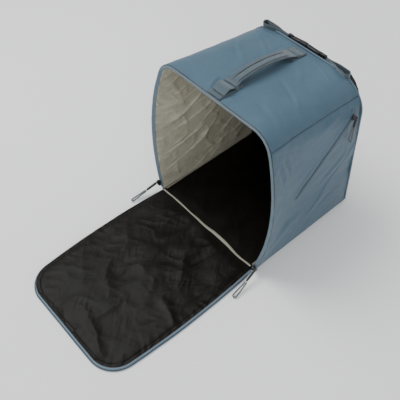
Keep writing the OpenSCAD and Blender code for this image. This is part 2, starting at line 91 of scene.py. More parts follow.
def ridged(P, scale, seed=0, n=3, gain=0.55, sharp=1.6):
    s, a, o = np.asarray(scale, float), 1.0, 0
    for k in range(n):
        o = o + a * (1 - np.abs(vnoise(P, s, seed + 31 * k))) ** (sharp * 3)
        s = s / 2.1; a *= gain
    return o

def crinkle(A, B, seed, amp=1.0, long=70.0, wide=9.0, n=6, patch=60.0):
    """Sharp small folds of a coated film over the plane (A, B)."""
    h = 0
    for k in range(n):
        an = (k + 0.35) * math.pi / n + 0.25 * math.sin(seed + k * 2.1); u = A * math.cos(an) + B * math.sin(an); w = -A * math.sin(an) + B * math.cos(an)
        w = w + 5.0 * vnoise(np.stack([A, B, 0 * A], -1), (48, 48, 1), seed + 90 + k)
        r = (1 - np.abs(vnoise(np.stack([u, w, 0 * A], -1), (long, wide * (1 + 0.5 * (k % 3)), 1), seed + 7 * k))) ** 9
        m = smooth(-0.05, 0.5, vnoise(np.stack([A, B, 0 * A], -1), (patch, patch, 1), seed + 50 + 3 * k))
        h = h + r * m * (1 if k % 2 else -0.8)
    return amp * h

def facets(A, B, seed):
    """Broad flat facets with sharp edges between them, as in a stiff coated film."""
    h = 0
    for k, (sc, am, an) in enumerate(((66, 1.5, 0.5), (44, 1.0, 1.75), (27, 0.45, 2.6), (14, 0.15, 0.9))):
        u = A * math.cos(an) + B * math.sin(an); w = -A * math.sin(an) + B * math.cos(an)
        w = w + 0.22 * sc * vnoise(np.stack([u, w, 0 * A], -1), (sc * 1.2, sc * 1.2, 1), seed + 20 + k)
        h = h + am * (0.5 - np.abs(vnoise(np.stack([u, w, 0 * A], -1), (sc * 1.7, sc * 0.8, 1), seed + k)))
    return h

def smooth(e0, e1, x):
    t = np.clip((x - e0) / (e1 - e0), 0, 1)
    return t * t * (3 - 2 * t)

def crease(U, W, a, b, width, amp, skew=0.0):
    """A fold along the segment a-b in the plane (U, W): a rounded ridge that tapers at both ends."""
    d = np.array(b, float) - np.array(a, float); L = np.hypot(*d); d /= L
    s = (U - a[0]) * d[0] + (W - a[1]) * d[1]
    n = -(U - a[0]) * d[1] + (W - a[1]) * d[0]
    t = np.clip(s / L, 0, 1)
    n = n - skew * np.sin(t * math.pi) * width
    prof = np.exp(-(n / width) ** 2) - 0.55 * np.exp(-((n - 1.7 * width) / width) ** 2)
    ends = smooth(-0.12, 0.25, s / L) * (1 - smooth(0.72, 1.12, s / L))
    return amp * prof * ends

# ---------------------------------------------------------------- materials
def new_mat(name):
    m = bpy.data.materials.new(name); m.use_nodes = True
    nt = m.node_tree
    return m, nt, nt.nodes["Principled BSDF"]

def N(nt, kind, **kw):
    n = nt.nodes.new(kind)
    for k, v in kw.items():
        if k.startswith("in_"):
            key = k[3:]
            n.inputs[int(key) if key.isdigit() else key.replace("_", " ")].default_value = v
        else:
            setattr(n, k, v)
    return n

def mathn(nt, op, a, b=None, c=None):
    n = nt.nodes.new("ShaderNodeMath"); n.operation = op
    for k, v in enumerate((a, b, c)):
        if v is None: continue
        if hasattr(v, "links"): nt.links.new(v, n.inputs[k])
        else: n.inputs[k].default_value = v
    return n.outputs[0]

def fabric(name, dark, light, rough=0.6, sheen=0.25, weave=0.7, weave_h=0.00010, grain=(260, 0.00012), mottle=9, spec=0.35, rough_var=0.08, coat=0.0, wear=None, twill=False, sheen_tint=(1, 1, 1, 1)):
    """Woven cloth: a weave in the surface's own millimetres, fine grain, cloudy colour variation and rubbed edges."""
    m, nt, b = new_mat(name); L = nt.links
    uv = N(nt, "ShaderNodeUVMap", uv_map="UVMap"); sep = N(nt, "ShaderNodeSeparateXYZ"); L.new(uv.outputs[0], sep.inputs[0])
    k = 2 * math.pi / (weave / 1000)
    if twill:
        a = mathn(nt, "ADD", sep.outputs[0], sep.outputs[1]); a = mathn(nt, "SINE", mathn(nt, "MULTIPLY", a, k))
        c = mathn(nt, "SINE", mathn(nt, "MULTIPLY", sep.outputs[1], k * 0.5))
        wv = mathn(nt, "ADD", a, mathn(nt, "MULTIPLY", c, 0.35))
    else:
        wv = mathn(nt, "MULTIPLY", mathn(nt, "SINE", mathn(nt, "MULTIPLY", sep.outputs[0], k)), mathn(nt, "SINE", mathn(nt, "MULTIPLY", sep.outputs[1], k)))
    tc = N(nt, "ShaderNodeTexCoord")
    no = N(nt, "ShaderNodeTexNoise", in_Scale=mottle, in_Detail=5.0, in_Roughness=0.6); L.new(tc.outputs["Object"], no.inputs["Vector"])
    ng = N(nt, "ShaderNodeTexNoise", in_Scale=grain[0], in_Detail=3.0, in_Roughness=0.7); L.new(tc.outputs["Object"], ng.inputs["Vector"])
    fac = mathn(nt, "ADD", mathn(nt, "MULTIPLY", no.outputs["Fac"], 0.75), mathn(nt, "MULTIPLY", ng.outputs["Fac"], 0.35))
    fac = mathn(nt, "ADD", fac, mathn(nt, "MULTIPLY", wv, 0.06))
    r = N(nt, "ShaderNodeValToRGB"); r.color_ramp.elements[0].position = 0.36; r.color_ramp.elements[1].position = 0.72
    r.color_ramp.elements[0].color = (*dark, 1); r.color_ramp.elements[1].color = (*light, 1)
    L.new(fac, r.inputs[0])
    col = r.outputs[0]
    if wear is not None:
        ge = N(nt, "ShaderNodeNewGeometry")
        rr = N(nt, "ShaderNodeValToRGB"); rr.color_ramp.elements[0].position = 0.53; rr.color_ramp.elements[1].position = 0.64
        rr.color_ramp.elements[0].color = (0, 0, 0, 1); rr.color_ramp.elements[1].color = (1, 1, 1, 1)
        L.new(ge.outputs["Pointiness"], rr.inputs[0])
        mx = N(nt, "ShaderNodeMixRGB", blend_type="MIX"); mx.inputs[2].default_value = (*wear, 1)
        L.new(mathn(nt, "MULTIPLY", rr.outputs[0], 0.35), mx.inputs[0]); L.new(col, mx.inputs[1]); col = mx.outputs[0]
    L.new(col, b.inputs["Base Color"])
    rv = mathn(nt, "ADD", mathn(nt, "MULTIPLY", no.outputs["Fac"], rough_var * 2), rough - rough_var)
    L.new(rv, b.inputs["Roughness"])
    b.inputs["Specular IOR Level"].default_value = spec
    b.inputs["Sheen Weight"].default_value = sheen
    b.inputs["Sheen Roughness"].default_value = 0.45
    b.inputs["Sheen Tint"].default_value = sheen_tint
    if coat:
        b.inputs["Coat Weight"].default_value = coat; b.inputs["Coat Roughness"].default_value = 0.35
    bu = N(nt, "ShaderNodeBump"); bu.inputs["Strength"].default_value = 0.7; bu.inputs["Distance"].default_value = weave_h
    L.new(wv, bu.inputs["Height"])
    bg = N(nt, "ShaderNodeBump"); bg.inputs["Strength"].default_value = 0.8; bg.inputs["Distance"].default_value = grain[1]
    L.new(ng.outputs["Fac"], bg.inputs["Height"]); L.new(bu.outputs[0], bg.inputs["Normal"])
    L.new(bg.outputs[0], b.inputs["Normal"])
    return m

def plastic(name, col, rough=0.32, grain=1400, h=0.00003, spec=0.5):
    m, nt, b = new_mat(name); L = nt.links
    tc = N(nt, "ShaderNodeTexCoord")
    no = N(nt, "ShaderNodeTexNoise", in_Scale=grain, in_Detail=2.0); L.new(tc.outputs["Object"], no.inputs["Vector"])
    n2 = N(nt, "ShaderNodeTexNoise", in_Scale=70.0, in_Detail=4.0); L.new(tc.outputs["Object"], n2.inputs["Vector"])
    r = N(nt, "ShaderNodeValToRGB"); r.color_ramp.elements[0].color = (*[c * 0.75 for c in col], 1); r.color_ramp.elements[1].color = (*[min(1, c * 1.5 + 0.004) for c in col], 1)
    L.new(n2.outputs["Fac"], r.inputs[0]); L.new(r.outputs[0], b.inputs["Base Color"])
    L.new(mathn(nt, "ADD", mathn(nt, "MULTIPLY", n2.outputs["Fac"], 0.18), rough - 0.09), b.inputs["Roughness"])
    b.inputs["Specular IOR Level"].default_value = spec
    bu = N(nt, "ShaderNodeBump"); bu.inputs["Strength"].default_value = 0.5; bu.inputs["Distance"].default_value = h
    L.new(no.outputs["Fac"], bu.inputs["Height"]); L.new(bu.outputs[0], b.inputs["Normal"])
    return m

M = {}
M["outer"] = fabric("outer_fabric", (0.0435, 0.093, 0.138), (0.0605, 0.120, 0.170), rough=0.5, sheen=0.1, weave=0.75, wear=(0.12, 0.19, 0.23))
# a darker copy of the outer fabric: painted shade, used for the seam welts and the cloth under the fold
M["outer_low"] = fabric("outer_fabric_painted_shade", (0.030, 0.062, 0.090), (0.044, 0.084, 0.116), rough=0.5, sheen=0.1, weave=0.75, wear=(0.12, 0.19, 0.23))
M["tape"] = fabric("zip_tape", (0.088, 0.142, 0.186), (0.118, 0.18, 0.228), rough=0.62, sheen=0.2, weave=0.6, twill=True)
M["tape_door"] = fabric("zip_tape_door", (0.15, 0.225, 0.29), (0.195, 0.275, 0.345), rough=0.62, sheen=0.2, weave=0.6, twill=True)
M["base"] = fabric("base_fabric", (0.014, 0.015, 0.017), (0.028, 0.029, 0.032), rough=0.6, weave=1.1)
M["lining"] = fabric("lining", (0.36, 0.345, 0.27), (0.5, 0.48, 0.39), rough=0.28, sheen=0.08, weave=0.5, weave_h=0.00005, mottle=14, spec=0.5, sheen_tint=(1, 0.97, 0.88, 1))
M["binding"] = fabric("binding", (0.26, 0.25, 0.2), (0.36, 0.345, 0.28), rough=0.6, weave=0.9, twill=True)
M["piping"] = fabric("piping", (0.075, 0.12, 0.155), (0.1, 0.15, 0.19), rough=0.55, weave=0.8)
M["webbing"] = fabric("webbing", (0.048, 0.077, 0.096), (0.078, 0.113, 0.135), rough=0.66, sheen=0.3, weave=1.6, weave_h=0.00025, twill=True, mottle=22)
M["darkweb"] = fabric("dark_webbing", (0.016, 0.018, 0.02), (0.03, 0.033, 0.036), rough=0.62, sheen=0.3, weave=1.6, weave_h=0.00025, twill=True)
M["cord"] = fabric("cord", (0.09, 0.108, 0.12), (0.16, 0.185, 0.2), rough=0.7, sheen=0.35, weave=1.0, weave_h=0.0002, twill=True)
M["mesh"] = fabric("back_mesh", (0.07, 0.063, 0.055), (0.13, 0.118, 0.104), rough=0.85, sheen=0.35, weave=2.6, weave_h=0.0005, mottle=20)
M["strap"] = fabric("strap_fabric", (0.018, 0.02, 0.023), (0.034, 0.037, 0.041), rough=0.7, sheen=0.3, weave=0.8)
M["thread"] = fabric("thread", (0.085, 0.14, 0.185), (0.12, 0.185, 0.235), rough=0.6, weave=0.4)
M["thread_dark"] = fabric("thread_dark", (0.012, 0.012, 0.013), (0.03, 0.03, 0.032), rough=0.6, weave=0.4)
M["tarp"] = fabric("tarp_liner", (0.0030, 0.0025, 0.0019), (0.0070, 0.0060, 0.0047), rough=0.34, sheen=0.0, weave=1.2, weave_h=0.00006, grain=(420, 0.00022), mottle=16, spec=0.13, rough_var=0.1)
M["foam"] = fabric("foam", (0.3, 0.3, 0.28), (0.4, 0.4, 0.38), rough=0.9, weave=1.4)
M["black"] = plastic("black_plastic", (0.009, 0.009, 0.01), rough=0.3)
M["rubber"] = plastic("black_rubber", (0.011, 0.011, 0.012), rough=0.52, grain=900, h=0.00006)
M["coil"] = plastic("coil_nylon", (0.01, 0.012, 0.016), rough=0.4)

# ---------------------------------------------------------------- mesh builders
def link(me, name, mat, smooth_it=True):
    o = bpy.data.objects.new(name, me)
    bpy.context.scene.collection.objects.link(o)
    me.materials.append(mat)
    if smooth_it:
        me.polygons.foreach_set("use_smooth", [True] * len(me.polygons))
    return o

def mesh_obj(name, V, F, mat, uv=None, smooth_it=True, hard=None):
    me = bpy.data.meshes.new(name)
    me.from_pydata(to_m(V).tolist(), [], F if isinstance(F, list) else F.tolist())
    me.update()
    if uv is not None:
        lay = me.uv_layers.new(name="UVMap")
        li = np.empty(len(me.loops), np.int32); me.loops.foreach_get("vertex_index", li)
        lay.data.foreach_set("uv", (np.asarray(uv, float)[li] / 1000.0).ravel())
    else:
        me.uv_layers.new(name="UVMap")
        lay = me.uv_layers["UVMap"]
        li = np.empty(len(me.loops), np.int32); me.loops.foreach_get("vertex_index", li)
        P = np.asarray(V, float)[li]
        lay.data.foreach_set("uv", (np.stack([P[:, 0] + 0.6 * P[:, 2], P[:, 1] + 0.7 * P[:, 2]], -1) / 1000.0).ravel())
    o = link(me, name, mat, smooth_it)
    if hard is not None:
        me.set_sharp_from_angle(angle=math.radians(hard))
    return o

def grid_faces(nu, nv, off=0, flip=False, wrap=False):
    i, j = np.meshgrid(np.arange(nu if wrap else nu - 1), np.arange(nv - 1), indexing="ij")
    a = i * nv + j + off; b = i * nv + j + 1 + off
    c = ((i + 1) % nu) * nv + j + 1 + off; d = ((i + 1) % nu) * nv + j + off
    f = np.stack([a, b, c, d], -1).reshape(-1, 4)
    return f[:, ::-1] if flip else f

def grid_normals(P):
    du = np.gradient(P, axis=0); dv = np.gradient(P, axis=1)
    n = np.cross(du, dv); n /= np.maximum(np.linalg.norm(n, axis=-1, keepdims=True), 1e-9)
    return n

def shell(name, P, Q, mat, uv=None, nrm=None, mats=None):
    """A closed sheet between two grids of points: P is the seen side, Q the hidden one."""
    nu, nv = P.shape[:2]
    V = np.concatenate([P.reshape(-1, 3), Q.reshape(-1, 3)]); m = nu * nv
    n = grid_normals(P)[nu // 2, nv // 2]
    flip = float(np.dot(n, (P - Q)[nu // 2, nv // 2])) > 0
    # grid_faces winds a-b-c-d: its normal is dv x du
    F = [grid_faces(nu, nv, 0, flip), grid_faces(nu, nv, m, not flip)]
    def strip(e):
        a, b = e[:-1], e[1:]
        return np.stack([a, b, b + m, a + m], -1)
    I = np.arange(m).reshape(nu, nv)
    for e, fl in ((I[0, :], False), (I[-1, :], True), (I[:, 0], True), (I[:, -1], False)):
        s = strip(e)
        F.append(s if (fl != flip) else s[:, ::-1])
    F = np.concatenate(F)
    if uv is None:
        lu = np.concatenate([[0], np.cumsum(np.linalg.norm(np.diff(P[:, nv // 2], axis=0), axis=1))])
        lv = np.concatenate([[0], np.cumsum(np.linalg.norm(np.diff(P[nu // 2], axis=0), axis=1))])
        uv = np.stack(np.meshgrid(lu, lv, indexing="ij"), -1).reshape(-1, 2)
    else:
        uv = uv.reshape(-1, 2)
    o = mesh_obj(name, V, F, mat, np.concatenate([uv, uv]))
    if nrm is not None:
        N1 = nrm.reshape(-1, 3); allN = np.concatenate([N1, -N1])
        o.data.normals_split_custom_set_from_vertices(allN.tolist())
    return o

def frames(C, up=(0, 0, 1)):
    C = np.asarray(C, float)
    T = np.gradient(C, axis=0); T /= np.maximum(np.linalg.norm(T, axis=1, keepdims=True), 1e-9)
    U = np.empty_like(C); u = np.array(up, float)
    for i in range(len(C)):
        u = u - (u @ T[i]) * T[i]; l = np.linalg.norm(u)
        if l < 1e-6:
            u = np.array([1.0, 0.3, 0.2]); u = u - (u @ T[i]) * T[i]; l = np.linalg.norm(u)
        u = u / l; U[i] = u
    return T, U, np.cross(T, U)

def tube(name, C, r, mat, n=10, up=(0, 0, 1), closed=False, caps=True, twist=0.0, prof=None):
    """A round (or profiled) tube along C."""
    C = np.asarray(C, float); T, U, W = frames(C, up)
    a = np.arange(n) / n * 2 * math.pi
    rr = np.broadcast_to(np.asarray(r, float), (len(C),))
    cu = np.cos(a)[None] * rr[:, None]; su = np.sin(a)[None] * rr[:, None]
    if prof is not None: cu = cu * prof[0]; su = su * prof[1]
    V = C[:, None] + cu[..., None] * U[:, None] + su[..., None] * W[:, None]
    L = np.concatenate([[0], np.cumsum(np.linalg.norm(np.diff(C, axis=0), axis=1))])
    k = len(C)
    F = []
    i, j = np.meshgrid(np.arange(k if closed else k - 1), np.arange(n), indexing="ij")
    F = np.stack([i * n + j, i * n + (j + 1) % n, ((i + 1) % k) * n + (j + 1) % n, ((i + 1) % k) * n + j], -1).reshape(-1, 4).tolist()
    V = V.reshape(-1, 3)
    uv = np.stack([np.tile(a / (2 * math.pi) * 2 * math.pi * float(rr.mean()), k), np.repeat(L, n)], -1)
    if caps and not closed:
        V = np.concatenate([V, C[:1], C[-1:]]); uv = np.concatenate([uv, [[0, 0]], [[0, L[-1]]]])
        F += [[k * n, (q + 1) % n, q] for q in range(n)]
        F += [[k * n + 1, (k - 1) * n + q, (k - 1) * n + (q + 1) % n] for q in range(n)]
    return mesh_obj(name, V, F, mat, uv)

def ribbon(name, C, width, thick, mat, up=(0, 0, 1), edge=None, round_n=3, wav=None, closed=False):
    """Webbing: a flat strap with rounded selvedges along C; 'up' is its face's normal."""
    C = np.asarray(C, float); T, U, W = frames(C, up)
    wd = np.broadcast_to(np.asarray(width, float), (len(C),)) / 2; th = np.broadcast_to(np.asarray(thick, float), (len(C),)) / 2
    xs = np.concatenate([np.linspace(-1, 1, 9)])
    top = np.stack([xs, np.clip((1 - np.abs(xs) ** 14), 0, 1) ** 0.5], -1)
    bot = np.stack([xs[::-1], -np.clip((1 - np.abs(xs[::-1]) ** 14), 0, 1) ** 0.5], -1)
    ring = np.concatenate([top[:-1], bot[:-1]]) ; n = len(ring)
    V = C[:, None] + (ring[:, 0][None] * wd[:, None])[..., None] * W[:, None] + (ring[:, 1][None] * th[:, None])[..., None] * U[:, None]
    if wav is not None: V = V + wav(V)
    L = np.concatenate([[0], np.cumsum(np.linalg.norm(np.diff(C, axis=0), axis=1))]); k = len(C)
    i, j = np.meshgrid(np.arange(k if closed else k - 1), np.arange(n), indexing="ij")
    F = np.stack([i * n + j, i * n + (j + 1) % n, ((i + 1) % k) * n + (j + 1) % n, ((i + 1) % k) * n + j], -1).reshape(-1, 4)[:, ::-1].tolist()
    if not closed:
        F += [list(range(n)), list(range((k - 1) * n, k * n))[::-1]]
    uv = np.stack([np.tile(ring[:, 0], k) * np.repeat(wd, n), np.repeat(L, n)], -1)
    return mesh_obj(name, V.reshape(-1, 3), F, mat, uv)

def join_meshes(name, parts, mat):
    """parts: list of (V, F). One object."""
    V, F, o = [], [], 0
    for v, f in parts:
        V.append(np.asarray(v, float)); F += [[q + o for q in fc] for fc in (f.tolist() if hasattr(f, "tolist") else f)]; o += len(v)
    return mesh_obj(name, np.concatenate(V), F, mat)

def stitches(name, C, normals, mat, length=3.0, gap=1.3, r=0.32, lift=0.12):
    """A row of thread along C: each stitch is a small bowed capsule."""
    C = np.asarray(C, float); Nn = np.asarray(normals, float)
    L = np.concatenate([[0], np.cumsum(np.linalg.norm(np.diff(C, axis=0), axis=1))])
    s = np.arange(0.6, L[-1] - length, length + gap)
    parts = []; V0 = []; F0 = []; off = 0
    t = np.linspace(0, 1, 6); n = 6; a = np.arange(n) / n * 2 * math.pi
    for q in s:
        ss = q + t * length
        P = np.stack([np.interp(ss, L, C[:, k]) for k in range(3)], -1)
        Nq = np.stack([np.interp(ss, L, Nn[:, k]) for k in range(3)], -1)
        Nq /= np.linalg.norm(Nq, axis=1, keepdims=True)
        P = P + Nq * (lift * np.sin(t * math.pi)[:, None] + 0.05)
        T = np.gradient(P, axis=0); T /= np.linalg.norm(T, axis=1, keepdims=True)
        W = np.cross(T, Nq)
        rad = r * np.sqrt(np.clip(1 - (2 * t - 1) ** 6, 0.08, 1))
        V = P[:, None] + rad[:, None, None] * (np.cos(a)[None, :, None] * W[:, None] + 0.75 * np.sin(a)[None, :, None] * Nq[:, None])
        V0.append(V.reshape(-1, 3))
        i, j = np.meshgrid(np.arange(5), np.arange(n), indexing="ij")
        F0 += (np.stack([i * n + j, ((i + 1)) * n + j, (i + 1) * n + (j + 1) % n, i * n + (j + 1) % n], -1).reshape(-1, 4) + off).tolist()
        F0 += [[off + k for k in range(n)], [off + 5 * n + k for k in range(n - 1, -1, -1)]]
        off += 6 * n
    return mesh_obj(name, np.concatenate(V0), F0, mat)

def box_part(x0, x1, y0, y1, z0, z1, bev=0.4):
    """A box with one bevel on every edge, as (V, F)."""
    import bmesh
    bm = bmesh.new(); bmesh.ops.create_cube(bm, size=1)
    for v in bm.verts:
        v.co = Vector(((x0 + x1) / 2 + v.co.x * (x1 - x0), (y0 + y1) / 2 + v.co.y * (y1 - y0), (z0 + z1) / 2 + v.co.z * (z1 - z0)))
    if bev > 0:
        bmesh.ops.bevel(bm, geom=bm.edges[:] + bm.verts[:], offset=min(bev, 0.45 * min(x1 - x0, y1 - y0, z1 - z0)), segments=2, profile=0.5, affect="EDGES")
    bm.verts.ensure_lookup_table(); bm.verts.index_update()
    V = np.array([v.co[:] for v in bm.verts]); F = [[v.index for v in f.verts] for f in bm.faces]
    bm.free()
    return V, F

def xform(part, fn):
    return fn(part[0]), part[1]

# ---------------------------------------------------------------- profiles of the body
def beta_(zc, b): return 0.0 if b < 0.01 else 2 * math.atan(2 * b / zc)
def zc_(h, r, b):
    z = h - r
    for _ in range(8): z = h - r * (1 - math.sin(beta_(z, b)))
    return z

NCURL, NA, NB1, NB2, NT = 4, 140, 20, 26, 44
def half(w, h, r, b, z0, fs, z_curl=5.0):
    zc = zc_(h, r, b); be = beta_(zc, b); rr = 0 if b < 0.01 else zc / (2 * math.sin(be))
    f0 = 0 if b < 0.01 else math.asin((z0 - zc / 2) / rr)
    cx, cz = w - r * math.cos(be), zc - r * math.sin(be)
    def side(t):
        if b < 0.01: return [w, z0 + (zc - z0) * t, 0.0]
        f = f0 + (be - f0) * t
        return [w + rr * (math.cos(f) - math.cos(be)), zc / 2 + rr * math.sin(f), f]
    out = []
    s0 = side(0)
    for k in range(NCURL):
        a = math.pi / 2 * (1 - k / NCURL)
        out.append([s0[0] - z_curl * (1 - math.cos(a)), s0[1] - z_curl * math.sin(a), f0 * (k / NCURL) - a * (1)])
    out += [side(i / NA) for i in range(NA + 1)]
    fs = math.radians(fs)
    for j in range(1, NB1 + NB2 + 1):
        f = be + (fs - be) * (1 - (1 - j / NB1) ** 1.8) if j <= NB1 else fs + (math.pi / 2 - fs) * ((j - NB1) / NB2) ** 1.5
        out.append([cx + r * math.cos(f), cz + r * math.sin(f), f])
    out += [[cx * (1 - k / NT), h, math.pi / 2] for k in range(1, NT + 1)]
    return np.array(out)
Z0 = 5.6
F1, F0, RP = half(HW, MH, MR, BOW, Z0, 25), half(HW, MH, MR, 0, Z0, 25), half(RW, RH, RR, 0, Z0, 35)
I_A = NCURL + NA           # last row of the bowed side
I_S = I_A + NB1            # the seam's row
NHALF = len(F1)


def fade(v): return np.where(v < FLARE, (1 - np.minimum(v, FLARE) / FLARE) ** 2, 0.0)
def rows_full(i0):
    r = np.arange(i0, NHALF)
    return np.concatenate([r, r[:-1][::-1]]), np.concatenate([np.ones(len(r)), -np.ones(len(r) - 1)])
def base_grid(i0, V):
    """Outer surface points, profile normals and (arc length, y) of the whole arch from the right foot to the left."""
    rows, side = rows_full(i0); g = fade(V)[None, :, None]; v = V[None, :, None]
    def xz(p): return p[rows][:, None, :2]
    def nn(p): return np.stack([np.cos(p[rows, 2]), np.sin(p[rows, 2])], -1)[:, None]
    a = xz(F0) + (xz(F1) - xz(F0)) * g; na = nn(F0) + (nn(F1) - nn(F0)) * g
    c, nc = xz(RP), nn(RP)
    yf = (a[..., 1] - SLAB) * math.tan(LEAN) + 0.4; yr = DF - c[..., 1] * math.tan(LR) + 0 * v[..., 0]
    xzv = a + (c - a) * v; n = na + (nc - na) * v; n /= np.linalg.norm(n, axis=-1, keepdims=True)
    P = np.stack([xzv[..., 0] * side[:, None], yf + (yr - yf) * v[..., 0], xzv[..., 1]], -1)
    Nn = np.stack([n[..., 0] * side[:, None], 0 * n[..., 0], n[..., 1]], -1)
    S = np.concatenate([np.zeros((1, P.shape[1])), np.cumsum(np.linalg.norm(np.diff(P, axis=0), axis=-1), axis=0)])
    S = S - S[len(rows) // 2]
    return P, Nn, np.stack([S, P[..., 1]], -1), rows, side

def cam_look():
    az, el, roll, W = 0.8329, 0.8811, 0.014, 0.315
    tgt = np.array([-0.2194 * W, 0.145 * W - 0.156, 0.006])
    back = np.array([math.sin(az) * math.cos(el), -math.cos(az) * math.cos(el), math.sin(el)])
    pos = tgt + back * 4.654 * W
    r = np.cross(-back, [0, 0, 1.0]); r /= np.linalg.norm(r); u = np.cross(r, -back)
    r2 = math.cos(roll) * r + math.sin(roll) * u; u2 = -math.sin(roll) * r + math.cos(roll) * u
    from mathutils import Matrix
    m = Matrix(((r2[0], u2[0], back[0], pos[0]), (r2[1], u2[1], back[1], pos[1]), (r2[2], u2[2], back[2], pos[2]), (0, 0, 0, 1)))
    cd = bpy.data.cameras.new("camera"); cd.lens = 607.5 / 400 * 36; cd.sensor_width = 36; cd.sensor_fit = "HORIZONTAL"; cd.clip_end = 50
    co = bpy.data.objects.new("camera", cd); bpy.context.scene.collection.objects.link(co); co.matrix_world = m
    bpy.context.scene.camera = co
cam_look()

# ---------------------------------------------------------------- floor and light
def studio():
    fm, nt, b = new_mat("studio_floor")
    tc = N(nt, "ShaderNodeTexCoord"); no = N(nt, "ShaderNodeTexNoise", in_Scale=3.0); nt.links.new(tc.outputs["Object"], no.inputs["Vector"])
    r = N(nt, "ShaderNodeValToRGB"); r.color_ramp.elements[0].color = (0.93, 0.93, 0.93, 1); r.color_ramp.elements[1].color = (0.95, 0.95, 0.95, 1)
    nt.links.new(no.outputs["Fac"], r.inputs[0]); nt.links.new(r.outputs[0], b.inputs["Base Color"]); b.inputs["Roughness"].default_value = 0.9
    b.inputs["Specular IOR Level"].default_value = 0.1
    me = bpy.data.meshes.new("studio_floor"); me.from_pydata([(-9, -9, -0.0012), (9, -9, -0.0012), (9, 9, -0.0012), (-9, 9, -0.0012)], [], [(0, 1, 2, 3)]); me.update()
    fl = link(me, "studio_floor", fm, False)
    w = bpy.data.worlds.new("studio"); w.use_nodes = True; bpy.context.scene.world = w
    w.node_tree.nodes["Background"].inputs[0].default_value = (0.97, 0.985, 1.0, 1); w.node_tree.nodes["Background"].inputs[1].default_value = WORLD
    def area(name, loc, size, power, tgt=(0, 0, 0.15), col=(1, 1, 1)):
        ld = bpy.data.lights.new(name, "AREA"); ld.energy = power; ld.size = size; ld.color = col
        o = bpy.data.objects.new(name, ld); bpy.context.scene.collection.objects.link(o); o.location = loc
        o.rotation_euler = (Vector(tgt) - Vector(loc)).to_track_quat("-Z", "Y").to_euler()
    area("key", (-1.0, -0.5, 2.1), 1.3, KEY)
    area("fill", (1.6, -1.6, 1.3), 1.6, FILL)
    area("back", (0.3, 2.0, 1.6), 1.4, BACK)
WORLD, KEY, FILL, BACK = 0.62, 42.0, 17.0, 10.0
studio()

# ---------------------------------------------------------------- zips, sliders, pulls and cords
def rotm(axis, ang):
    a = np.array(axis, float); a /= np.linalg.norm(a); c, s = math.cos(ang), math.sin(ang)
    K = np.array([[0, -a[2], a[1]], [a[2], 0, -a[0]], [-a[1], a[0], 0]])
    return np.eye(3) * c + s * K + (1 - c) * np.outer(a, a)

CB = 24.0
zc0 = zc_(MH, MR, CB); be0 = beta_(zc0, CB); R0 = zc0 / (2 * math.sin(be0)); cx0 = HW - R0 * math.cos(be0)
sf0 = math.asin((26.0 - zc0 / 2) / R0)
Rl = rotm((1, 0, 0), -LEAN)
def on_coil(s):
    def f(V):
        V = np.asarray(V, float) + [R0 - 1.5, -3, 0]
        V = V @ rotm((0, 1, 0), -sf0).T + [cx0, 0, zc0 / 2]
        V = V * [s, 1, 1]
        return (V - [0, 0, SLAB]) @ Rl.T + [0, 0, SLAB]
    return f
def at_pull(s):
    g = on_coil(s); R = rotm((1, 0, 0), math.radians(17))
    return lambda V: g(np.asarray(V, float) @ R.T + [6.4, -2.1, 0])
def side_x(y, z, b=BOW):
    zc = MH - MR; v = y / (DF - z * math.tan(LR)); t = z / zc
    return HW + (RW - HW) * v + b * fade(np.asarray(v)) * (1 - (2 * t - 1) ** 2)
pk_top = np.array([side_x(248, 322, CB), 248, 322]); pk_bot = np.array([side_x(105, 172, CB), 105, 172])
pk_d = (pk_bot - pk_top) / np.linalg.norm(pk_bot - pk_top)
pk_n = np.cross(pk_d, np.cross([1, 0, 0], pk_d)); pk_n /= np.linalg.norm(pk_n); pk_s = np.cross(pk_n, pk_d)
def on_pocket(s):
    Mx = np.stack([pk_n, -pk_s, pk_d], 1); o = pk_top + 0.9 * pk_n
    return lambda V: (np.asarray(V, float) @ Mx.T + o) * [s, 1, 1]
pp = pk_top + 0.9 * pk_n + 7 * pk_d + 8.6 * pk_n
def at_pocket_pull(s):
    R = rotm((1, 0, 0), math.radians(90))
    return lambda V: (np.asarray(V, float) @ R.T + pp) * [s, 1, 1]

def merge(parts):
    V, F, o = [], [], 0
    for v, f in parts:
        v = np.asarray(v, float); V.append(v); F += [[int(q) + o for q in fc] for fc in f]; o += len(v)
    return np.concatenate(V), F

def outline_plate(pts, x0, x1, bev=0.35):
    """A plate with softened rims from a closed outline in (y, z), between x0 and x1."""
    pts = np.asarray(pts, float); c = pts.mean(0); n = len(pts)
    def ring(k, x): return np.column_stack([np.full(n, x), c + (pts - c) * k])
    ext = np.abs(pts - c).max()
    k = 1 - bev / ext
    R = [ring(k * 0.55, x0), ring(k, x0), ring(1, x0 + bev), ring(1, x1 - bev), ring(k, x1), ring(k * 0.55, x1)]
    V = np.concatenate(R + [np.array([[x0, *c]]), np.array([[x1, *c]])]); F = []
    for a in range(5):
        F += [[a * n + i, a * n + (i + 1) % n, (a + 1) * n + (i + 1) % n, (a + 1) * n + i] for i in range(n)]
    F += [[6 * n, (i + 1) % n, i] for i in range(n)] + [[6 * n + 1, 5 * n + i, 5 * n + (i + 1) % n] for i in range(n)]
    return V, F

def tube_part(C, r, n=8, closed=False):
    C = np.asarray(C, float); T, U, W = frames(C); a = np.arange(n) / n * 2 * math.pi; k = len(C)
    V = (C[:, None] + r * np.cos(a)[None, :, None] * U[:, None] + r * np.sin(a)[None, :, None] * W[:, None]).reshape(-1, 3)
    F = [[i * n + j, i * n + (j + 1) % n, ((i + 1) % k) * n + (j + 1) % n, ((i + 1) % k) * n + j] for i in range(k if closed else k - 1) for j in range(n)]
    if not closed: F += [list(range(n))[::-1], list(range((k - 1) * n, k * n))]
    return V, F

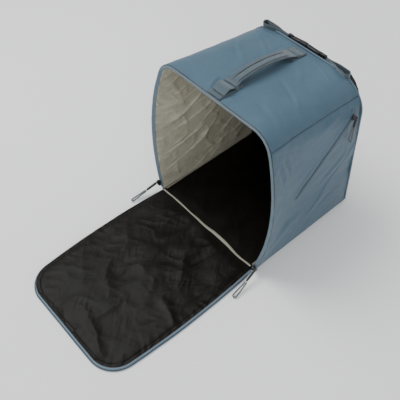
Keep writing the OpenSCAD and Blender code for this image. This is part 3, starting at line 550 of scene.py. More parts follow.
def rr_path(hx, hy, r, n=6):
    out = []
    for cx, cy, a0 in ((hx - r, hy - r, 0), (-hx + r, hy - r, 90), (-hx + r, -hy + r, 180), (hx - r, -hy + r, 270)):
        for k in range(n + 1):
            a = math.radians(a0 + 90 * k / n); out.append([cx + r * math.cos(a), cy + r * math.sin(a)])
    return np.array(out)

def grip_part(length, w0, w1, t, y0=0.0):
    """A moulded grip: rounded, waisted, with raised ribs, from y0 out to y0 - length."""
    k = 40; s = np.linspace(0, 1, k); n = 16; a = np.arange(n) / n * 2 * math.pi
    wid = (w0 + (w1 - w0) * s) / 2 * (1 - 0.12 * np.sin(s * math.pi)) * np.sqrt(np.clip(1 - np.abs(2 * s - 1) ** 12, 0.05, 1))
    th = t / 2 * (1 + 0.10 * np.cos(s * math.pi * 2 * 7) * smooth(0.22, 0.3, s) * (1 - smooth(0.7, 0.78, s))) * np.sqrt(np.clip(1 - np.abs(2 * s - 1) ** 10, 0.05, 1))
    c, q = np.cos(a), np.sin(a)
    sx = np.sign(c) * np.abs(c) ** 0.6; sz = np.sign(q) * np.abs(q) ** 0.6
    V = np.stack([0.2 + th[:, None] * sx[None], np.broadcast_to((y0 - length * s)[:, None], (k, n)), wid[:, None] * sz[None]], -1).reshape(-1, 3)
    F = [[i * n + j, i * n + (j + 1) % n, (i + 1) * n + (j + 1) % n, (i + 1) * n + j] for i in range(k - 1) for j in range(n)]
    F += [list(range(n))[::-1], list(range((k - 1) * n, k * n))]
    return V, F

def bail_part(base):
    z = 5.0
    path = np.array([[-base, 0, -z], [-base * .5, 0, -z], [-0.9, 0, -z], [-0.25, 0, -z + .6], [0, 0, -z + 1.4], [0, 0, 0], [0, 0, z - 1.4], [-0.25, 0, z - .6], [-0.9, 0, z], [-base * .5, 0, z], [-base, 0, z]])
    return tube_part(path, 0.85, 10)

def solid(name, parts, fn, mat, hard=35):
    V, F = merge(parts); return mesh_obj(name, fn(V), F, mat, hard=hard)

def loop_path(reach, w=12):
    r = w / 2; L = reach - r
    left = [[0.2 - w * (0.24 + 0.26 * smooth(0, 1, t)), -L * t, 0] for t in np.linspace(0, 1, 10)]
    arc = [[0.2 - r * math.cos(a), -L - r * math.sin(a), 0] for a in np.linspace(0, math.pi, 15)[1:-1]]
    return np.array(left + arc + [[0.4 - p[0], p[1], p[2]] for p in left[::-1]])

def cord_curve(name, pts, dia, mat):
    cu = bpy.data.curves.new(name, "CURVE"); cu.dimensions = "3D"; cu.bevel_depth = dia / 2000; cu.bevel_resolution = 5; cu.use_fill_caps = True
    sp = cu.splines.new("POLY"); P = to_m(pts); sp.points.add(len(P) - 1)
    for q, p in zip(sp.points, P): q.co = (*p, 1)
    sp.use_smooth = True
    cu.materials.append(mat)
    o = bpy.data.objects.new(name, cu); bpy.context.scene.collection.objects.link(o)
    return o

def slider_outline(l, w, n=14):
    out = []
    for k in range(n + 1):
        a = math.pi / 2 + math.pi * k / n; out.append([-l / 2 + w / 2 + w / 2 * math.cos(a), w / 2 * math.sin(a)])
    w2 = w - 2
    for k in range(n + 1):
        a = -math.pi / 2 + math.pi * k / n; out.append([l / 2 - w2 / 2 + w2 / 2 * math.cos(a), w2 / 2 * math.sin(a)])
    return np.array(out)

for s, side in ((1, "right"), (-1, "left")):
    g = on_coil(s); oz = slider_outline(15, 9)
    yz = np.stack([-2.1 + oz[:, 1], -oz[:, 0]], -1)
    parts = [outline_plate(yz, 1.7, 3.2), outline_plate(yz, -2.9, -1.7), box_part(-2.2, 2.2, -2.55, -1.65, 1, 6, .3)]
    parts.append(xform(bail_part(3.6), lambda V: V + [6.4, -2.1, 0]))
    parts.append(xform(grip_part(11, 4.2, 3.4, 1.6), lambda V: (V[:, [0, 2, 1]] * [1, 1, 1]) + [3.3, -2.1, 5.5]))
    o = solid(f"{side}_zip_slider", parts, g, M["black"]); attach(o, f"{side}_slider"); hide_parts(f"{side}_main_slider")
    g = at_pull(s); Ry = rotm((0, 0, 1), math.radians(11))
    def yawed(V, Ry=Ry): return np.asarray(V, float) @ Ry.T + [0, -4.1, 0]
    ring = rr_path(2.15, 3.4, 1.5); parts = [tube_part(np.column_stack([ring - [0.1, 0], np.zeros(len(ring))]), 0.78, 8, closed=True)]
    parts.append(xform(grip_part(30, 6.6, 6.0, 5.0, 1.0), yawed))
    o = solid(f"{side}_zip_pull", parts, g, M["rubber"], hard=50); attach(o, f"{side}_pull"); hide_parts(f"{side}_main_pull")
    P = loop_path(42, 8); dens = P + [0, -30.2, 0]
    dens = dens + np.column_stack([0.5 * np.sin(np.linspace(0, 7, len(P)) + s), 0 * P[:, 0], 0.9 * np.sin(np.linspace(0, math.pi, len(P)))])
    P = g(yawed(dens))
    o = cord_curve(f"{side}_zip_pull_cord", P, 3.6, M["cord"]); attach(o, f"{side}_pull"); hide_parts(f"{side}_main_cord")
    # pocket slider, pull and cord
    g = on_pocket(s)
    sl = rr_path(4.3, 6.2, 2.2)
    parts = [outline_plate(np.stack([sl[:, 0], sl[:, 1] + 7], -1), 3.4, 5.2), box_part(2.4, 3.7, -4.0, -1.7, 1.6, 12.4, .3), box_part(2.4, 3.7, 1.7, 4.0, 1.6, 12.4, .3)]
    A = solid(f"{side}_pocket_zip_slider", parts, g, M["black"])
    B = solid(f"{side}_pocket_bail", [bail_part(3.8)], at_pocket_pull(s), M["black"])
    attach(A, f"{side}_pocket_runner"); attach(B, f"{side}_pocket_runner"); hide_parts(f"{side}_pocket_slider")
    g = at_pocket_pull(s)
    parts = [tube_part(np.column_stack([ring - [0.1, 0], np.zeros(len(ring))]), 0.78, 8, closed=True), xform(grip_part(19, 6.2, 5.6, 4.6, 1.0), lambda V: V + [0, -4.1, 0])]
    o = solid(f"{side}_pocket_zip_pull", parts, g, M["rubber"], hard=50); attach(o, f"{side}_pocket_tab"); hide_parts(f"{side}_pocket_pull")
    P = loop_path(40, 8); P = P + [0, -19.2 - 4.1, 0]; P = P + np.column_stack([0.4 * np.sin(np.linspace(0, 6, len(P))), 0 * P[:, 0], 0 * P[:, 0]])
    P = g(P)
    o = cord_curve(f"{side}_pocket_pull_cord", P, 3.6, M["cord"]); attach(o, f"{side}_pocket_tab"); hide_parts(f"{side}_pocket_cord")

# ---------------------------------------------------------------- outer cloth
def pieces_of(P, Q, nrm, uv, i0, cuts, front, mats, rng_idx=None):
    pass

def split(P, i0):
    """Index ranges of the right side, right corner, top, left corner and left side."""
    n = P.shape[0]; a, b = I_A - i0, I_S - i0
    return {"right_side": (0, a + 1), "right_corner": (a, b + 1), "top": (b, n - b), "left_corner": (n - 1 - b, n - a), "left_side": (n - 1 - a, n), "upper": (a, n - a)}

def squash_side(o):
    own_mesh(o)

KEEP = 0.24
ys = np.concatenate([[1.5, 1.6, 1.9, 2.5, 3.4, 4.3, 5.2, 6.2, 7.5, 9.2, 11.2, 13.2], np.linspace(15.6, 309.3, 113), [311.4]])
VO = ys / DF
P0, Nn, SU, rws, sd = base_grid(0, VO)
S, Y = SU[..., 0], SU[..., 1]
rowid = rws[:, None] + 0 * Y
Yf = ys[None] + 0 * Y
seam = S * 0 + np.where(sd > 0, 0, 0)[:, None]
iR = I_S; iL = P0.shape[0] - 1 - I_S
dR = S - S[iR][None]; dL = S - S[iL][None]          # arc distance from each seam, positive towards the left side
dS = np.where(np.abs(dR) < np.abs(dL), dR, dL)
def outer_field():
    h = 1.35 * fbm(P0, (80, 95, 70), 3, 3) + 0.42 * fbm(P0, (30, 38, 28), 9, 3)
    # soft long folds
    top = (np.abs(S) < 165)
    for a, b, w, am, sk in TOPF: h = h + crease(S, Yf, a, b, w * 0.9, am * 1.7, sk)
    for a, b, w, am, sk in SIDEF:
        h = h + np.where(S < -150, crease(Y, P0[..., 2], a, b, w, am * 1.3, sk), 0) + np.where(S > 150, crease(Y, P0[..., 2] * 1.0, (a[0] + 14, a[1] - 8), (b[0] + 5, b[1] + 11), w, am * 1.2, -sk), 0)
    # seams: a groove with raised lips and puckers
    h = h - 1.25 * np.exp(-(dS / 1.5) ** 2) + 0.55 * np.exp(-((np.abs(dS) - 4.2) / 2.6) ** 2)
    pk = vnoise(np.stack([Yf / 1.0, 0 * Yf, np.sign(dS) * 40 + 0 * Yf], -1), (5.5, 1, 13), 21)
    h = h + 0.34 * pk * np.exp(-np.abs(dS) / 8) + 0.5 * vnoise(np.stack([Yf, np.abs(dS), 0 * Yf], -1), (21, 30, 1), 5) * np.exp(-np.abs(dS) / 26)
    # front edge: fold, stitch line, puckers running back from it
    h = h - 0.42 * np.exp(-((Yf - 5.2) / 0.9) ** 2) + 0.3 * vnoise(np.stack([S, 0 * S, 0 * S], -1), (6.5, 1, 1), 77) * np.exp(-(Yf - 1.5) / 7) + 0.8 * vnoise(np.stack([S, Yf * 0.3, 0 * S], -1), (26, 14, 1), 71) * np.exp(-(Yf - 1.5) / 22)
    # rear edge
    e = DF - Yf
    h = h + 0.35 * vnoise(np.stack([S, 0 * S, 0 * S], -1), (7.5, 1, 1), 87) * np.exp(-e / 8) + 0.8 * vnoise(np.stack([S, e * 0.4, 0 * S], -1), (24, 16, 1), 81) * np.exp(-e / 26) - 1.3 * np.exp(-e / 5)
    # puff of the foam between seams
    h = h + 1.3 * smooth(0, 34, np.abs(dS)) * smooth(2, 36, Yf) * (1 - smooth(270, 309, Yf)) - 0.6
    return h

TOPF = [((-118, 120), (-40, 168), 7, -1.1, .6), ((-70, 200), (-12, 262), 8, 0.9, .5), ((58, 150), (112, 196), 7, -1.0, -.4), ((30, 214), (96, 262), 6, 0.8, .4),
        ((-100, 262), (-30, 292), 5, 0.8, .3), ((22, 292), (118, 268), 5, -0.9, .3), ((-130, 44), (-64, 62), 9, -0.8, .2), ((74, 60), (132, 34), 8, 0.8, -.2),
        ((-24, 286), (-20, 232), 5, 0.9, 0), ((26, 286), (24, 236), 5, 0.8, 0), ((-24, 16), (-40, 66), 5, .7, 0), ((24, 16), (38, 60), 5, .7, 0)]
SIDEF = [((26, 318), (46, 268), 6, -1.6, .3), ((44, 330), (66, 284), 5, -1.3, -.2), ((20, 250), (60, 190), 9, -1.2, .4), ((40, 60), (140, 96), 12, 1.3, .5), ((150, 40), (240, 96), 12, -1.2, .3),
         ((190, 150), (262, 214), 9, 1.2, -.3), ((70, 120), (120, 70), 9, -1.0, .3), ((248, 300), (262, 240), 6, -1.1, 0), ((16, 120), (34, 62), 8, -1.0, .2), ((150, 330), (226, 342), 7, 0.9, .2)]
# the pocket: cloth dips along the zip, and an overlapping edge runs parallel below it
def pocket_field(P, side):
    X = P * [side, 1, 1]; q = X - (pk_top + 0.9 * pk_n)
    a = q @ pk_d; n = q @ pk_s
    inside = smooth(-16, 2, a) * (1 - smooth(200, 220, a))
    dip = -0.9 * np.exp(-(n / 8.5) ** 2) * inside + 0.75 * np.exp(-((np.abs(n) - 13) / 5) ** 2) * inside
    m = q - LEDGE[0] ; L = LEDGE[1] - LEDGE[0]; Ll = np.linalg.norm(L); Ld = L / Ll
    aa = m @ Ld; nn_ = m @ np.cross(pk_n, Ld)
    on = smooth(-14, 14, aa) * (1 - smooth(Ll - 20, Ll + 14, aa))
    step = LSIGN * 1.5 * (1 / (1 + np.exp(-nn_ / 1.1)) - 0.5) * np.exp(-(nn_ / 26) ** 2) * on
    return dip + step
LEDGE = [np.array([0.0, 283.0, 222.0]), np.array([0.0, 145.0, 48.0])]
LSIGN = 1.0
LEDGE = [np.array([pk_top[0], y, z]) - (pk_top + 0.9 * pk_n) for _, y, z in LEDGE]
H = outer_field()
ns_side = np.abs(S) > 175
for s in (1, -1):
    m = (P0[..., 0] * s > 100)
    H = H + np.where(m, pocket_field(P0, s), 0)
foot = smooth(2, 30, P0[..., 2])
H = H * (0.25 + 0.75 * foot)
tuck = np.interp(Yf, [1.5, 1.6, 1.9, 2.5, 3.4], [-1.5, -0.6, -0.2, 0.0, 0.0])
H = H + tuck
OUT = P0 + Nn * H[..., None]
gn = grid_normals(OUT); gn *= np.sign(np.sum(gn * Nn, -1, keepdims=True) + 1e-9)
INN = P0 + Nn * (np.minimum(H, 0.6) - 2.0)[..., None]
ix = split(OUT, 0)
outer_names = {"right_side": ("right_side_cloth", ["right_side_panel", "right_side_foam"]), "right_corner": ("right_shoulder_cloth", []), "top": ("top_cloth", ["top_panel", "top_foam"]), "left_corner": ("left_shoulder_cloth", []), "left_side": ("left_side_cloth", ["left_side_panel", "left_side_foam"])}
for key, (nm, rep) in outer_names.items():
    a, b = ix[key]
    o = shell(nm, OUT[a:b], INN[a:b], M["outer"], SU[a:b], gn[a:b])
    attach(o, "bag")
    if rep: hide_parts(*rep)
    if key in ("right_side", "left_side"): squash_side(o)

# ---------------------------------------------------------------- mouth: zip tape, coil and stitching
def layer(ys_, depth, i0=0):
    """Points at a depth below the plain outer surface for stations given in mm behind the mouth."""
    P, n, su, r, s = base_grid(i0, np.asarray(ys_) / DF)
    return P - n * (depth + 0 * P[..., 0])[..., None], n, su, r, s
def at(grid_fn, *a): return grid_fn(*a)

ROW0 = NCURL + 3                     # the tape and the coil start a little above the floor
prof_ = np.array([(4.2, 1.9), (1.6, 1.8), (0.9, 1.5), (0.1, 1.0), (-0.8, 0.75), (-1.4, 1.1), (-1.7, 1.9), (-1.75, 3.0), (-1.65, 4.1), (-1.2, 4.9), (-0.3, 5.5), (0.3, 6.2), (0.45, 7.2), (0.5, 8.2), (0.7, 9.0)])
tp_ = np.gradient(prof_, axis=0); tp_ /= np.linalg.norm(tp_, axis=1, keepdims=True); pb_ = prof_ + 0.8 * np.stack([tp_[:, 1], -tp_[:, 0]], -1)
yt, dt_ = prof_[:, 0], prof_[:, 1]
Pt, nt_, sut, _, _ = layer(yt, 0, ROW0); Pu, nu_, _, _, _ = layer(pb_[:, 0], 0, ROW0)
St = sut[..., 0]; wv = 0.22 * vnoise(np.stack([St, 0 * St, 0 * St], -1), (17, 1, 1), 40) + 0.2 * vnoise(np.stack([St, 0 * St, 0 * St], -1), (6.5, 1, 1), 42) * (np.arange(len(yt)) > 9)[None]
TO = Pt - nt_ * (dt_[None] + wv)[..., None]; TI = Pu - nu_ * (pb_[:, 1][None] + wv)[..., None]
acc = np.concatenate([[0], np.cumsum(np.linalg.norm(np.diff(prof_, axis=0), axis=1))]); sut = np.stack([St, acc[None] + 0 * St], -1)
wy = 0.35 * vnoise(np.stack([St, 0 * St, 0 * St], -1), (60, 1, 1), 44); TO[:, :, 1] += wy; TI[:, :, 1] += wy
lob = smooth(0.3, 0.8, nt_[:, :1, 2]); TO[:, :, 1] += lob * (np.maximum(yt, -0.15) - yt)[None]; TI[:, :, 1] += lob * (np.maximum(pb_[:, 0], 0.65) - pb_[:, 0])[None]
fwd = np.zeros_like(nt_); fwd[..., 1] = -1
ix = split(TO, ROW0); gt = grid_normals(TO); gt *= np.sign(np.sum(gt[:, 7:8] * fwd[:, 7:8], -1, keepdims=True) + 1e-9)
for key, nm in (("right_side", "right_rim_tape"), ("upper", "rim_tape"), ("left_side", "left_rim_tape")):
    a, b = ix[key]; o = shell(nm, TO[a:b], TI[a:b], M["tape"], sut[a:b], gt[a:b])
    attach(o, "bag")
    if key == "upper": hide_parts("rim_zip_tape")
    else: squash_side(o)

def coil_tube(name, C, Nrm, T_out, mat, r=1.25, pitch=1.35):
    """A zip's coil: a tube whose radius pulses at every turn."""
    L = np.concatenate([[0], np.cumsum(np.linalg.norm(np.diff(C, axis=0), axis=1))])
    s = np.arange(0, L[-1], pitch / 3.0)
    P = np.stack([np.interp(s, L, C[:, k]) for k in range(3)], -1); U = np.stack([np.interp(s, L, Nrm[:, k]) for k in range(3)], -1)
    T = np.gradient(P, axis=0); T /= np.linalg.norm(T, axis=1, keepdims=True); U /= np.linalg.norm(U, axis=1, keepdims=True); W = np.cross(T, U)
    n = 8; a = np.arange(n) / n * 2 * math.pi; rr = r * (0.86 + 0.2 * (np.arange(len(s)) % 3 == 0))
    V = P[:, None] + rr[:, None, None] * (np.cos(a)[None, :, None] * U[:, None] + np.sin(a)[None, :, None] * W[:, None])
    # every turn leans along the coil
    V = V + T[:, None] * (0.35 * np.cos(a))[None, :, None]
    k = len(s); i, j = np.meshgrid(np.arange(k - 1), np.arange(n), indexing="ij")
    F = np.stack([i * n + j, i * n + (j + 1) % n, (i + 1) * n + (j + 1) % n, (i + 1) * n + j], -1).reshape(-1, 4).tolist()
    F += [list(range(n))[::-1], list(range((k - 1) * n, k * n))]
    o = mesh_obj(name, V.reshape(-1, 3), F, mat); return o

Pc, nc_, suc, _, _ = layer([0.75], 0.75, ROW0)
Pc, nc_ = Pc[:, 0], nc_[:, 0]; ixc = split(Pc[:, None], ROW0)
for key, nm in (("right_side", "right_rim_coil"), ("upper", "rim_coil"), ("left_side", "left_rim_coil")):
    a, b = ixc[key]; o = coil_tube(nm, Pc[a:b], nc_[a:b], None, M["coil"], 0.8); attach(o, "bag")
    if key == "upper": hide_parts("rim_zip_coil")
    else: squash_side(o)

def interp_grid(G, yv, arr=ys):
    """Points of the outer cloth along the line y = yv."""
    j = np.searchsorted(arr, yv) - 1; t = (yv - arr[j]) / (arr[j + 1] - arr[j]); return G[:, j] * (1 - t) + G[:, j + 1] * t
def stitch_along(name, C, Nrm, body, key=None, depth=0, mat="thread", **kw):
    o = stitches(name, C, Nrm, M[mat], **kw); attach(o, body)
    if key: squash_side(o)
    return o
ix = split(OUT, 0); fr = interp_grid(OUT, 5.2); fn = interp_grid(gn, 5.2)
for key, nm in (("right_side", "right_rim_stitching"), ("upper", "rim_stitching"), ("left_side", "left_rim_stitching")):
    a, b = ix[key]
    if key == "right_side": a += 8
    if key == "left_side": b -= 8
    stitch_along(nm, fr[a:b], fn[a:b], "bag", None if key == "upper" else key.split("_")[0], 0)
for sgn, nm in ((1, "right"), (-1, "left")):
    i = I_S if sgn > 0 else OUT.shape[0] - 1 - I_S
    for off, tag in ((3.3, "top"),):
        # a stitch row on the top panel side of the seam
        C = []; Q = []
        for j in range(3, OUT.shape[1] - 2):
            col = S[:, j]; t = S[i, j] + off * sgn
            C.append([np.interp(t, col, OUT[:, j, k]) for k in range(3)]); Q.append([np.interp(t, col, gn[:, j, k]) for k in range(3)])
        stitch_along(f"{nm}_seam_stitching", C, Q, "bag")
    C = OUT[i, 2:-1]; Q = gn[i, 2:-1]
    # the welt uses the darker copy of the outer fabric: painted shade in the seam groove
    o = tube(f"{nm}_seam_welt", np.asarray(C) + np.asarray(Q) * 0.35, 0.75, M["outer_low"], 8, up=(0, 0, 1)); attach(o, "bag")

# ---------------------------------------------------------------- lining
yl = np.array([0, 1, 2, 3, 4, 5, 6, 7, 8, 9.4, 11, 13, 15.2, 17.6, 20.2] + list(np.linspace(23.2, 303, 98)))
Pl, nl, sul, rl, sdl = base_grid(0, yl / DF)
Sl = sul[..., 0]; Yl = yl[None] + 0 * Sl
LN = NCURL + 1
def lining_depth():
    # the lining rolls over the foam at the mouth and meets the back of the zip tape
    roll_t = [0, 1, 2, 3, 4, 5, 6, 7, 8, 9.4, 11, 13]
    d = 7.6 - 0.25 * np.exp(-Yl / 3) + 0 * Sl
    yy = np.interp(Yl, roll_t, [1.3, 1.9, 2.6, 3.4, 4.2, 5.0, 6.0, 7.0, 8.0, 9.4, 11.0, 13.0]) ; yy = np.where(Yl > 13, Yl, yy)
    p = np.stack([Sl, 0 * Sl, 0 * Sl], -1)
    tight = np.exp(-np.maximum(Yl - 3, 0) / 13)
    pk = vnoise(p, (8.5, 1, 1), 3) * 0.65 + vnoise(p, (4.6, 1, 1), 4) * 0.35
    lean = np.stack([Sl + 0.35 * Yl * np.sign(vnoise(p, (60, 1, 1), 8)), 0.22 * Yl, 0 * Sl], -1)
    pk2 = vnoise(lean, (13, 14, 1), 5)
    w = smooth(1, 5, Yl)
    h = 3.0 * pk * tight * w + 2.8 * pk2 * np.exp(-np.maximum(Yl - 6, 0) / 34) * w
    # long slack folds across the walls
    q = np.stack([Sl * 0.86 + Yl * 0.5, Yl * 0.86 - Sl * 0.5, 0 * Sl], -1)
    q2 = np.stack([Sl * 0.7 - Yl * 0.7, Yl * 0.7 + Sl * 0.7, 0 * Sl], -1)
    away = smooth(10, 50, Yl)
    h = h + away * (2.2 * facets(Sl, Yl, 301) + 4.0 * (ridged(q, (40, 150, 1), 12, 2) - 0.55) + 2.2 * (ridged(q2, (58, 110, 1), 15, 2) - 0.5) + 0.9 * fbm(np.stack([Sl, Yl, 0 * Sl], -1), (30, 34, 1), 19, 3))
    # slack over the ceiling
    top = np.exp(-((Sl - 8) / 62) ** 2) * np.exp(-((Yl - 74) / 46) ** 2); h = h + 13 * top * (1 + 0.3 * vnoise(q, (34, 34, 1), 23))
    h = h + 5.5 * np.exp(-((Sl - 70) / 34) ** 2) * np.exp(-((Yl - 150) / 60) ** 2)
    # tight where it is sewn at the corners of the floor and the back
    fl = smooth(6, 34, Pl[..., 2]); bk = 1 - smooth(270, 303, Yl) * 0.8
    pf = 0.8 * vnoise(np.stack([Yl, 0 * Sl, 0 * Sl], -1), (7.5, 1, 1), 30) * np.exp(-np.maximum(Pl[..., 2] - 8, 0) / 11)
    return d + np.maximum(h * fl * bk, -0.9) + 0.9 * w * 0 + np.maximum(pf, -0.3), yy
dl, yyl = lining_depth()
LI = Pl - nl * dl[..., None]
LI[..., 1] += (yyl - Yl)
seamdir = None
LO = LI + nl * 0.7
low = Pl[..., 2]
# the lining's feet stop on the floor liner
LIs, LOs, sus = LI[LN:LI.shape[0] - LN], LO[LN:LO.shape[0] - LN], sul[LN:sul.shape[0] - LN]
gl = grid_normals(LIs); nn_in = -nl[LN:nl.shape[0] - LN]; gl *= np.sign(np.sum(gl * nn_in, -1, keepdims=True) + 1e-9)
ixl = split(LIs, LN)
LIs[..., 2] = np.maximum(LIs[..., 2], 8.8); LOs[..., 2] = np.maximum(LOs[..., 2], 8.8)
fl_w = MH - MR
for key, nm, nodes in (("right_side", "right_lining_cloth", ["right_lining"]), ("upper", "top_lining_cloth", ["top_lining"]), ("left_side", "left_lining_cloth", ["left_lining"])):
    a, b = ixl[key]; o = shell(nm, LIs[a:b], LOs[a:b], M["lining"], sus[a:b], gl[a:b])
    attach(o, "bag"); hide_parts(*nodes)
    if key != "upper": squash_side(o)
    ar = np.linalg.norm(np.cross(np.diff(LIs[a:b], axis=0)[:, :-1], np.diff(LIs[a:b], axis=1)[:-1]), axis=-1).sum() / 1e6

# ---------------------------------------------------------------- flat panels built on a width that follows an arch
def arch_grid(h, n_u, n_w, z0, z1=None, dense=1.0, top_pad=1e-3):
    """Grid over an arch outline h(x, z): columns across, rows from the foot to the top. Returns X, Z and the distance to the outline."""
    zt = h[:, 1].max(); z1 = zt if z1 is None else z1
    r_lo = h[np.argmax(h[:, 0] < h[:, 0].max() - 1e9)] if False else None
    # rows get closer where the corner turns over
    zs = []; corner = h[h[:, 2] > math.radians(40)]
    za = corner[0, 1] if len(corner) else zt
    m = int(n_w * 0.68)
    zs = np.concatenate([np.linspace(z0, za, m, endpoint=False), za + (zt - za) * np.sin(np.linspace(0, math.pi / 2, n_w - m))])
    o = np.argsort(h[:, 1], kind="stable"); hz, hx = h[o, 1], h[o, 0]
    side = h[h[:, 1] < zt - 1e-6]; o = np.argsort(side[:, 1]); w = np.interp(zs, np.append(side[o, 1], zt), np.append(side[o, 0], h[np.abs(h[:, 1] - zt) < 1e-6][0, 0]))
    u = np.linspace(-1, 1, n_u); u = np.sign(u) * (1 - (1 - np.abs(u)) ** dense) if dense != 1 else u
    X = u[:, None] * w[None]; Z = zs[None] + 0 * X
    full_ = np.concatenate([h[:, :2], (h[:, :2] * [-1, 1])[::-1]])
    A, B = full_[:-1], full_[1:]
    Pp = np.stack([X, Z], -1).reshape(-1, 2); best = np.full(len(Pp), 1e9)
    for a, b in zip(A, B):
        d = b - a; l = d @ d
        if l < 1e-9: continue
        t = np.clip((Pp - a) @ d / l, 0, 1); q = Pp - a - t[:, None] * d; best = np.minimum(best, (q * q).sum(1))
    return X, Z, np.sqrt(best).reshape(X.shape)

def inset_half(h, d):
    q = np.array(h); q[:, 0] -= d * np.cos(h[:, 2]); q[:, 1] -= d * np.sin(h[:, 2]); return q[q[:, 0] >= -1e-6]

def half_plain(w, h, r, b, z0, na=40, nb=26, nt_=12):
    zc = zc_(h, r, b); be = beta_(zc, b); out = []
    if b < 0.01: out = [[w, z0 + (zc - z0) * t, 0.0] for t in np.linspace(0, 1, na + 1)]
    else:
        rr = zc / (2 * math.sin(be)); f0 = math.asin((z0 - zc / 2) / rr)
        for t in np.linspace(0, 1, na + 1):
            f = f0 + (be - f0) * t; out.append([w + rr * (math.cos(f) - math.cos(be)), zc / 2 + rr * math.sin(f), f])
    cx, cz = w - r * math.cos(be), zc - r * math.sin(be)
    for t in np.linspace(0, 1, nb + 1)[1:]:
        f = be + (math.pi / 2 - be) * t; out.append([cx + r * math.cos(f), cz + r * math.sin(f), f])
    out += [[cx * (1 - k / nt_), h, math.pi / 2] for k in range(1, nt_ + 1)]
    return np.array(out)

def sweep(name, line, nrm, prof, mat, to3, uvscale=1.0):
    """A closed section (list of (inset, height)) carried along an outline line with outward normals nrm; to3 maps (x, z, height) to space."""
    prof = np.asarray(prof, float); k, n = len(line), len(prof)
    XZ = line[:, None, :] - prof[None, :, 0:1] * nrm[:, None, :]
    V = to3(XZ[..., 0], XZ[..., 1], np.broadcast_to(prof[None, :, 1], (k, n)))
    i, j = np.meshgrid(np.arange(k - 1), np.arange(n), indexing="ij")
    F = np.stack([i * n + j, (i + 1) * n + j, (i + 1) * n + (j + 1) % n, i * n + (j + 1) % n], -1).reshape(-1, 4).tolist()
    F += [list(range(n)), list(range((k - 1) * n, k * n))[::-1]]
    L = np.concatenate([[0], np.cumsum(np.linalg.norm(np.diff(line, axis=0), axis=1))]); pl = np.concatenate([[0], np.cumsum(np.linalg.norm(np.diff(prof, axis=0), axis=1))])
    uv = np.stack([np.broadcast_to(pl[None], (k, n)), np.broadcast_to(L[:, None], (k, n))], -1).reshape(-1, 2)
    return mesh_obj(name, V.reshape(-1, 3), F, mat, uv)

def full_line(h):
    """The whole arch from the right foot to the left one, resampled about every 2.5 mm, with outward normals."""
    a = np.concatenate([h, (h[:-1] * [-1, 1, 1])[::-1]]); nn = np.stack([np.cos(h[:, 2]), np.sin(h[:, 2])], -1)
    n2 = np.concatenate([nn, (nn[:-1] * [-1, 1])[::-1]])
    L = np.concatenate([[0], np.cumsum(np.linalg.norm(np.diff(a[:, :2], axis=0), axis=1))]); keep = np.concatenate([[True], np.diff(L) > 1e-6]); L, a, n2 = L[keep], a[keep], n2[keep]
    s = np.linspace(0, L[-1], int(L[-1] / 2.5)); P = np.stack([np.interp(s, L, a[:, k]) for k in (0, 1)], -1); Q = np.stack([np.interp(s, L, n2[:, k]) for k in (0, 1)], -1)
    return P, Q / np.linalg.norm(Q, axis=1, keepdims=True), s

# ---------------------------------------------------------------- door
DH, DR, DB = 402.0, 63.0, 7.0
hd = half_plain(HW, DH, DR, DB, 12.0)
def door3(X, Z, Hh): return np.stack([X, SLAB - Z, Hh], -1)
X, Z, D = arch_grid(inset_half(hd, 5.6), 150, 190, 12.0)
dist = D
pp3 = np.stack([X, Z, 0 * X], -1)
q1 = np.stack([X * 0.8 + Z * 0.6, Z * 0.8 - X * 0.6, 0 * X], -1); q2 = np.stack([X * 0.3 - Z * 0.95, Z * 0.3 + X * 0.95, 0 * X], -1)
wr = 2.1 * facets(X, Z, 151) + crinkle(X, Z, 51, 0.42, 74, 9, 5, 58)
arc_s = np.arctan2(Z - 200, X) * 190
pkr = (1.5 * vnoise(np.stack([arc_s, dist * 0.12, 0 * X], -1), (7.0, 9, 1), 64) * np.exp(-dist / 10) + 1.1 * vnoise(np.stack([arc_s, dist * 0.1, 0 * X], -1), (19, 10, 1), 65) * np.exp(-dist / 26)) * smooth(0, 3, dist)
edge = np.minimum(dist, (Z - 12) + 4)
top_z = 10.2 - 1.2 * np.exp(-(dist / 8) ** 2) + wr * smooth(0, 26, dist) * smooth(14, 40, Z) + 1.0 * pkr - 0.9 * np.exp(-dist / 3.2) - 0.75 * np.exp(-((dist - 6.0) / 1.0) ** 2) * smooth(16, 26, Z) + 0.4 * smooth(5, 22, dist)
top_z = np.minimum(top_z, 9.55 + 7.0 * smooth(7.0, 19, dist))
door_top = door3(X, Z, top_z); door_bot = door3(X, Z, 8.3 + 0 * X - 0.6 * np.exp(-dist / 3))
gnd = grid_normals(door_top); gnd *= np.sign(gnd[..., 2:3] + 1e-9)
o = shell("door_lining", door_top, door_bot, M["tarp"], np.stack([X, Z], -1), gnd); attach(o, "door"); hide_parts("door_liner", "door_foam")
# outer cloth of the door, on the underside
Xo, Zo, Do = arch_grid(inset_half(hd, 4.6), 90, 120, 12.0)
bz_ = 0.35 + 0.22 * fbm(np.stack([Xo, Zo, 0 * Xo], -1), (60, 70, 1), 66, 3) + 0.9 * np.exp(-Do / 2.5)
db = door3(Xo, Zo, np.maximum(bz_, 0.02)); dt2 = door3(Xo, Zo, bz_ + 1.6)
gnb = grid_normals(db); gnb *= -np.sign(gnb[..., 2:3] + 1e-9)
o = shell("door_outer_cloth", db, dt2, M["outer"], np.stack([Xo, Zo], -1), gnb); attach(o, "door"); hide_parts("door_panel")
line, ln, ls = full_line(hd)
wob = 0.35 * vnoise(np.stack([ls, 0 * ls, 0 * ls], -1), (34, 1, 1), 68)
line = line + ln * wob[:, None]
o = sweep("door_tape", line, ln, [(0.2, 1.2), (0.5, 1.9), (2.0, 2.2), (3.0, 2.3), (4.0, 3.6), (4.8, 6.0), (5.2, 7.4), (5.8, 7.9), (6.3, 7.4), (6.0, 5.2), (5.2, 2.4), (4.4, 1.2), (3.4, 0.7), (0.6, 0.75)], M["tape_door"], door3)
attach(o, "door"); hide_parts("door_zip_tape", "door_edge_band")
